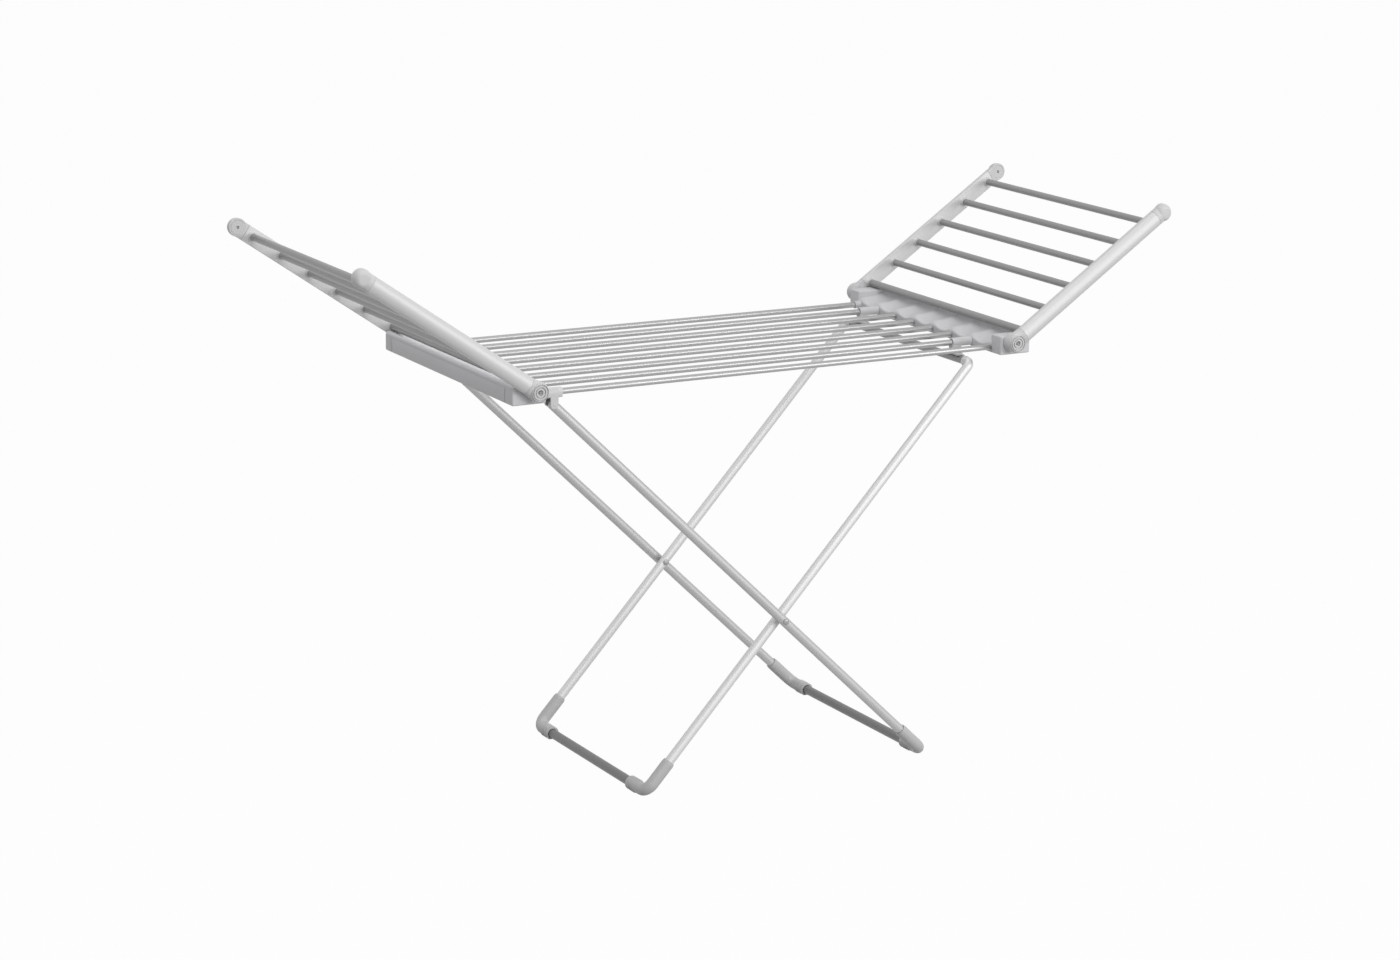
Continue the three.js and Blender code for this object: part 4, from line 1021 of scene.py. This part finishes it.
for end, sign in ENDS:
    outer_y, inner_y = sign * OUTER_LEG_Y, sign * INNER_LEG_Y
    fine(f"outer_leg_{end}", [moved(s, along_outer) for s in outer_leg(sign)], leg_finish,
         "outer_legs", "leg_aluminium")
    fine(f"outer_foot_elbow_{end}",
         [on_floor(moved(s, along_outer)) for s in elbow(outer_length, outer_y, -1)], elbow_finish,
         "outer_legs", "pale_plastic")
    fine(f"leg_rivet_{end}", [moved(s, along_outer) for s in leg_rivet(sign)], zinc_finish,
         "outer_legs", "rivet_zinc", RIVET_BEVEL)
    # The inner legs wear the leg aluminium painted lighter, as painted light; the metal is the same
    # as the outer legs'.
    fine(f"inner_leg_{end}", [moved(s, along_inner) for s in inner_leg(sign)], inner_leg_painted_light_finish,
         "inner_legs", "leg_aluminium")
    fine(f"inner_foot_elbow_{end}",
         [on_floor(moved(s, along_inner)) for s in elbow(inner_foot, inner_y, 1)], elbow_finish,
         "inner_legs", "pale_plastic")


def cross_piece(name, x, reach, radius, change, body, finish):
    """A tube from front to back, at a distance along a leg."""
    surface = moved(tube((x, -reach, 0), (x, reach, 0), radius, LEG_WALL), change)
    fine(name, [surface], finish, body, "foot_tube_metal")


foot_reach = -ELBOW_FOOT + ELBOW_FOOT_BORE - GAP
cross_piece("outer_foot_tube", outer_length, OUTER_LEG_Y + foot_reach, FOOT_TUBE_RADIUS,
            along_outer, "outer_legs", foot_finish)
cross_piece("inner_foot_tube", inner_foot, INNER_LEG_Y + foot_reach, FOOT_TUBE_RADIUS,
            along_inner, "inner_legs", foot_finish)
cross_piece("inner_cross_tube", inner_top, INNER_LEG_Y - LEG_MOUTH + CROSS_TUBE_INSERTION,
            CROSS_TUBE_RADIUS, along_inner, "inner_legs", rung_finish)


# Leg brackets and hooks

def barrel(y, length):
    """A barrel round a rod, against the end bar's inner wall."""
    end = BAR_INNER_X - GAP
    start, bore = end - length, ROD_RADIUS + GAP
    rows = rounded_rows([(end, BARREL_RADIUS), (start, BARREL_RADIUS - 0.3), (start, bore),
                         (end, bore)], BARREL_EDGE)
    return turned(rows, (0, y, ROD_Z), (1, 0, 0), BARREL_ROUND, loop=True)


def leg_bracket(sign):
    """A barrel, a saddle over the leg's top, two rounded ears and the pin between them."""
    y, leg_y = sign * ROD_Y[0], sign * OUTER_LEG_Y
    x, z = -OUTER_PIVOT[0], OUTER_PIVOT[1]
    clear = LEG_RADIUS + RUNNING_GAP
    ears = [sorted((leg_y + way * clear, leg_y + way * (clear + EAR_THICKNESS)))
            for way in (-sign, sign)]
    low, high = min(e[0] for e in ears), max(e[1] for e in ears)
    bottom, top = ROD_Z - BARREL_RADIUS + SADDLE_LIFT, ROD_Z + BARREL_RADIUS - SADDLE_DROP
    half = SADDLE_LENGTH / 2
    saddle = round_block((x - half, low, bottom), (x + half, high, top), SADDLE_RADII, SADDLE_EDGE)
    ear = np.vstack([arc((x, z), EAR_RADIUS, math.pi, 2 * math.pi, 20),
                     [(x + EAR_RADIUS, bottom + 3)], [(x - EAR_RADIUS, bottom + 3)]])
    parts = [barrel(y, BRACKET_LENGTH), saddle] + [plate(ear, *span) for span in ears]
    rim, tip = BRACKET_PIN_RADIUS, BRACKET_PIN_RADIUS - 0.6
    rows = [(low - 0.6, 0), (low - 0.6, tip), (low - 0.1, rim), (high + 0.1, rim),
            (high + 0.6, tip), (high + 0.6, 0)]
    parts.append(turned(rows, (x, 0, z), (0, 1, 0), SMALL_ROUND))
    return [mirrored(part, 0) for part in parts]


def leg_hook(sign):
    """A barrel, a web under it and a ribbed shell round the cross tube, open towards the deck's
    middle."""
    y, (x, z) = sign * ROD_Y[HOOK_RODS[0]], INNER_TOP
    inner = CROSS_TUBE_RADIUS + RUNNING_GAP
    outer, reach = inner + HOOK_WALL, x - HOOK_TOP_REACH

    def curved(radius, start, end):
        return arc((x, z), radius, start, end, 24)

    shell = np.vstack([curved(inner, HOOK_LIP, 0.5 * math.pi), [(reach, z + inner)],
                       [(reach, z + outer)], curved(outer, 0.5 * math.pi, HOOK_LIP)])
    half = HOOK_WEB_WIDTH / 2
    web = round_block((reach, y - half, z + inner + GAP), (x + outer, y + half, ROD_Z - 2),
                      (0.5,) * 4, 0.8)
    parts = [barrel(y, HOOK_LENGTH), plate(shell, y - HOOK_WIDTH / 2, y + HOOK_WIDTH / 2), web]
    rib = np.vstack([curved(outer - 0.5, HOOK_LIP, 0.5 * math.pi),
                     curved(outer + HOOK_RIB_RISE, 0.5 * math.pi, HOOK_LIP)])
    parts += [plate(rib, y + shift - HOOK_RIB_WIDTH / 2, y + shift + HOOK_RIB_WIDTH / 2)
              for shift in HOOK_RIBS]
    return parts


for end, sign in ENDS:
    fine(f"leg_bracket_{end}", leg_bracket(sign), pale_finish, "deck", "pale_plastic",
         BRACKET_BEVEL)
    fine(f"leg_hook_{end}", leg_hook(sign), pale_finish, "deck", "pale_plastic", HOOK_BEVEL)


# Inlet and switch

half_width, half_height = SWITCH_WIDTH / 2 + GAP, SWITCH_HEIGHT / 2 + GAP
opening = round_block((BAR_OUTER_X - SWITCH_DEPTH, SWITCH_Y - half_width, ROD_Z - half_height),
                      (BAR_OUTER_X + 4, SWITCH_Y + half_width, ROD_Z + half_height),
                      (SWITCH_EDGE,) * 4, SWITCH_EDGE, 3)
bore = turned([(BAR_OUTER_X - 8, 0), (BAR_OUTER_X - 8, INLET_RADIUS),
               (BAR_OUTER_X + 9, INLET_RADIUS), (BAR_OUTER_X + 9, 0)],
              (0, INLET_Y, ROD_Z), (1, 0, 0), SMALL_ROUND)
cut_out(right_base, [opening, bore])


def rocker():
    """The rocker: a shallow V with rounded tips, tilted to its off position."""
    half, depth = SWITCH_WIDTH / 2 - SWITCH_END_GAP, SWITCH_DEPTH / 2
    height = SWITCH_HEIGHT / 2 - GAP
    u = np.linspace(-1, 1, 17)
    face = np.column_stack([depth + SWITCH_PROUD * np.abs(u) ** 1.4, half * u])
    outline = np.vstack([[(-depth, -half / 2), (0, -half)], face, [(0, half), (-depth, half / 2)]])
    cosine, sine = math.cos(-SWITCH_TILT), math.sin(-SWITCH_TILT)

    def in_place(points):
        x, z, y = points.T
        return np.column_stack([BAR_OUTER_X - depth + x * cosine - y * sine,
                                SWITCH_Y + x * sine + y * cosine, ROD_Z + z])

    return [moved(plate(outline, -height, height), in_place)]


fine("switch_rocker", rocker(), switch_finish, "rocker", "switch_plastic", SWITCH_BEVEL)

for node, finish in (("heating_cable", jacket_finish), ("terminal_block", nylon_finish)):
    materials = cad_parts[node].data.materials
    if len(materials):
        materials[0] = finish
    else:
        materials.append(finish)


# Floor, world and lamps

def seen_white(finish):
    """1 for camera, glossy and transmission rays, which see the background, and 0 for light."""
    path = finish.node("ShaderNodeLightPath")
    return path[0].math("MAXIMUM", path[3]).math("MAXIMUM", path[6])


def add_floor():
    """A plain that keeps the shadow and otherwise shows as white as the background."""
    mesh = bpy.data.meshes.new("floor")
    mesh.from_pydata([(-20, -20, 0), (20, -20, 0), (20, 20, 0), (-20, 20, 0)], [], [(0, 1, 2, 3)])
    floor = bpy.data.objects.new("floor", mesh)
    bpy.context.scene.collection.objects.link(floor)
    finish = Finish(bpy.data.materials.new("white floor"))
    lit = finish.node("ShaderNodeBsdfDiffuse", {}, {"Color": (FLOOR_GREY,) * 3 + (1,)})[0]
    white = finish.node("ShaderNodeEmission", {}, {"Color": (1, 1, 1, 1), "Strength": 1.0})[0]
    share = seen_white(finish) * FLOOR_WHITE
    mixed = finish.node("ShaderNodeMixShader", {}, {0: share, 1: lit, 2: white})[0]
    finish.node("ShaderNodeOutputMaterial", {}, {"Surface": mixed})
    mesh.materials.append(finish.owner)


def add_world():
    """A white background for what sees it, and a softer fill for light."""
    world = bpy.data.worlds.new("studio")
    bpy.context.scene.world = world
    finish = Finish(world)
    white = finish.node("ShaderNodeBackground", {}, {"Color": (1, 1, 1, 1), "Strength": 1.0})[0]
    soft = finish.node("ShaderNodeBackground", {},
                       {"Color": (1, 1, 1, 1), "Strength": WORLD_FILL})[0]
    mixed = finish.node("ShaderNodeMixShader", {}, {0: seen_white(finish), 1: soft, 2: white})[0]
    finish.node("ShaderNodeOutputWorld", {}, {"Surface": mixed})


def add_lamp(name, place, aim, size, power):
    lamp = bpy.data.lights.new(name, "AREA")
    lamp.shape, lamp.size, lamp.energy = "DISK", size, power
    item = bpy.data.objects.new(name, lamp)
    item.location = place
    item.visible_camera = False
    item.rotation_euler = (Vector(aim) - Vector(place)).to_track_quat("-Z", "Y").to_euler()
    bpy.context.scene.collection.objects.link(item)


add_camera()
add_floor()
add_world()
add_lamp("overhead", (-0.8, 0.2, 5.2), (0, 0, 0.7), 3.5, 42)
add_lamp("front", (-0.2, -5.5, 3.75), (0, 0, 0.55), 3.0, 94)
add_lamp("right", (3.4, -5.25, 1.9), (0, 0, 0.55), 3.0, 112)
bpy.context.scene.view_settings.view_transform = "Standard"
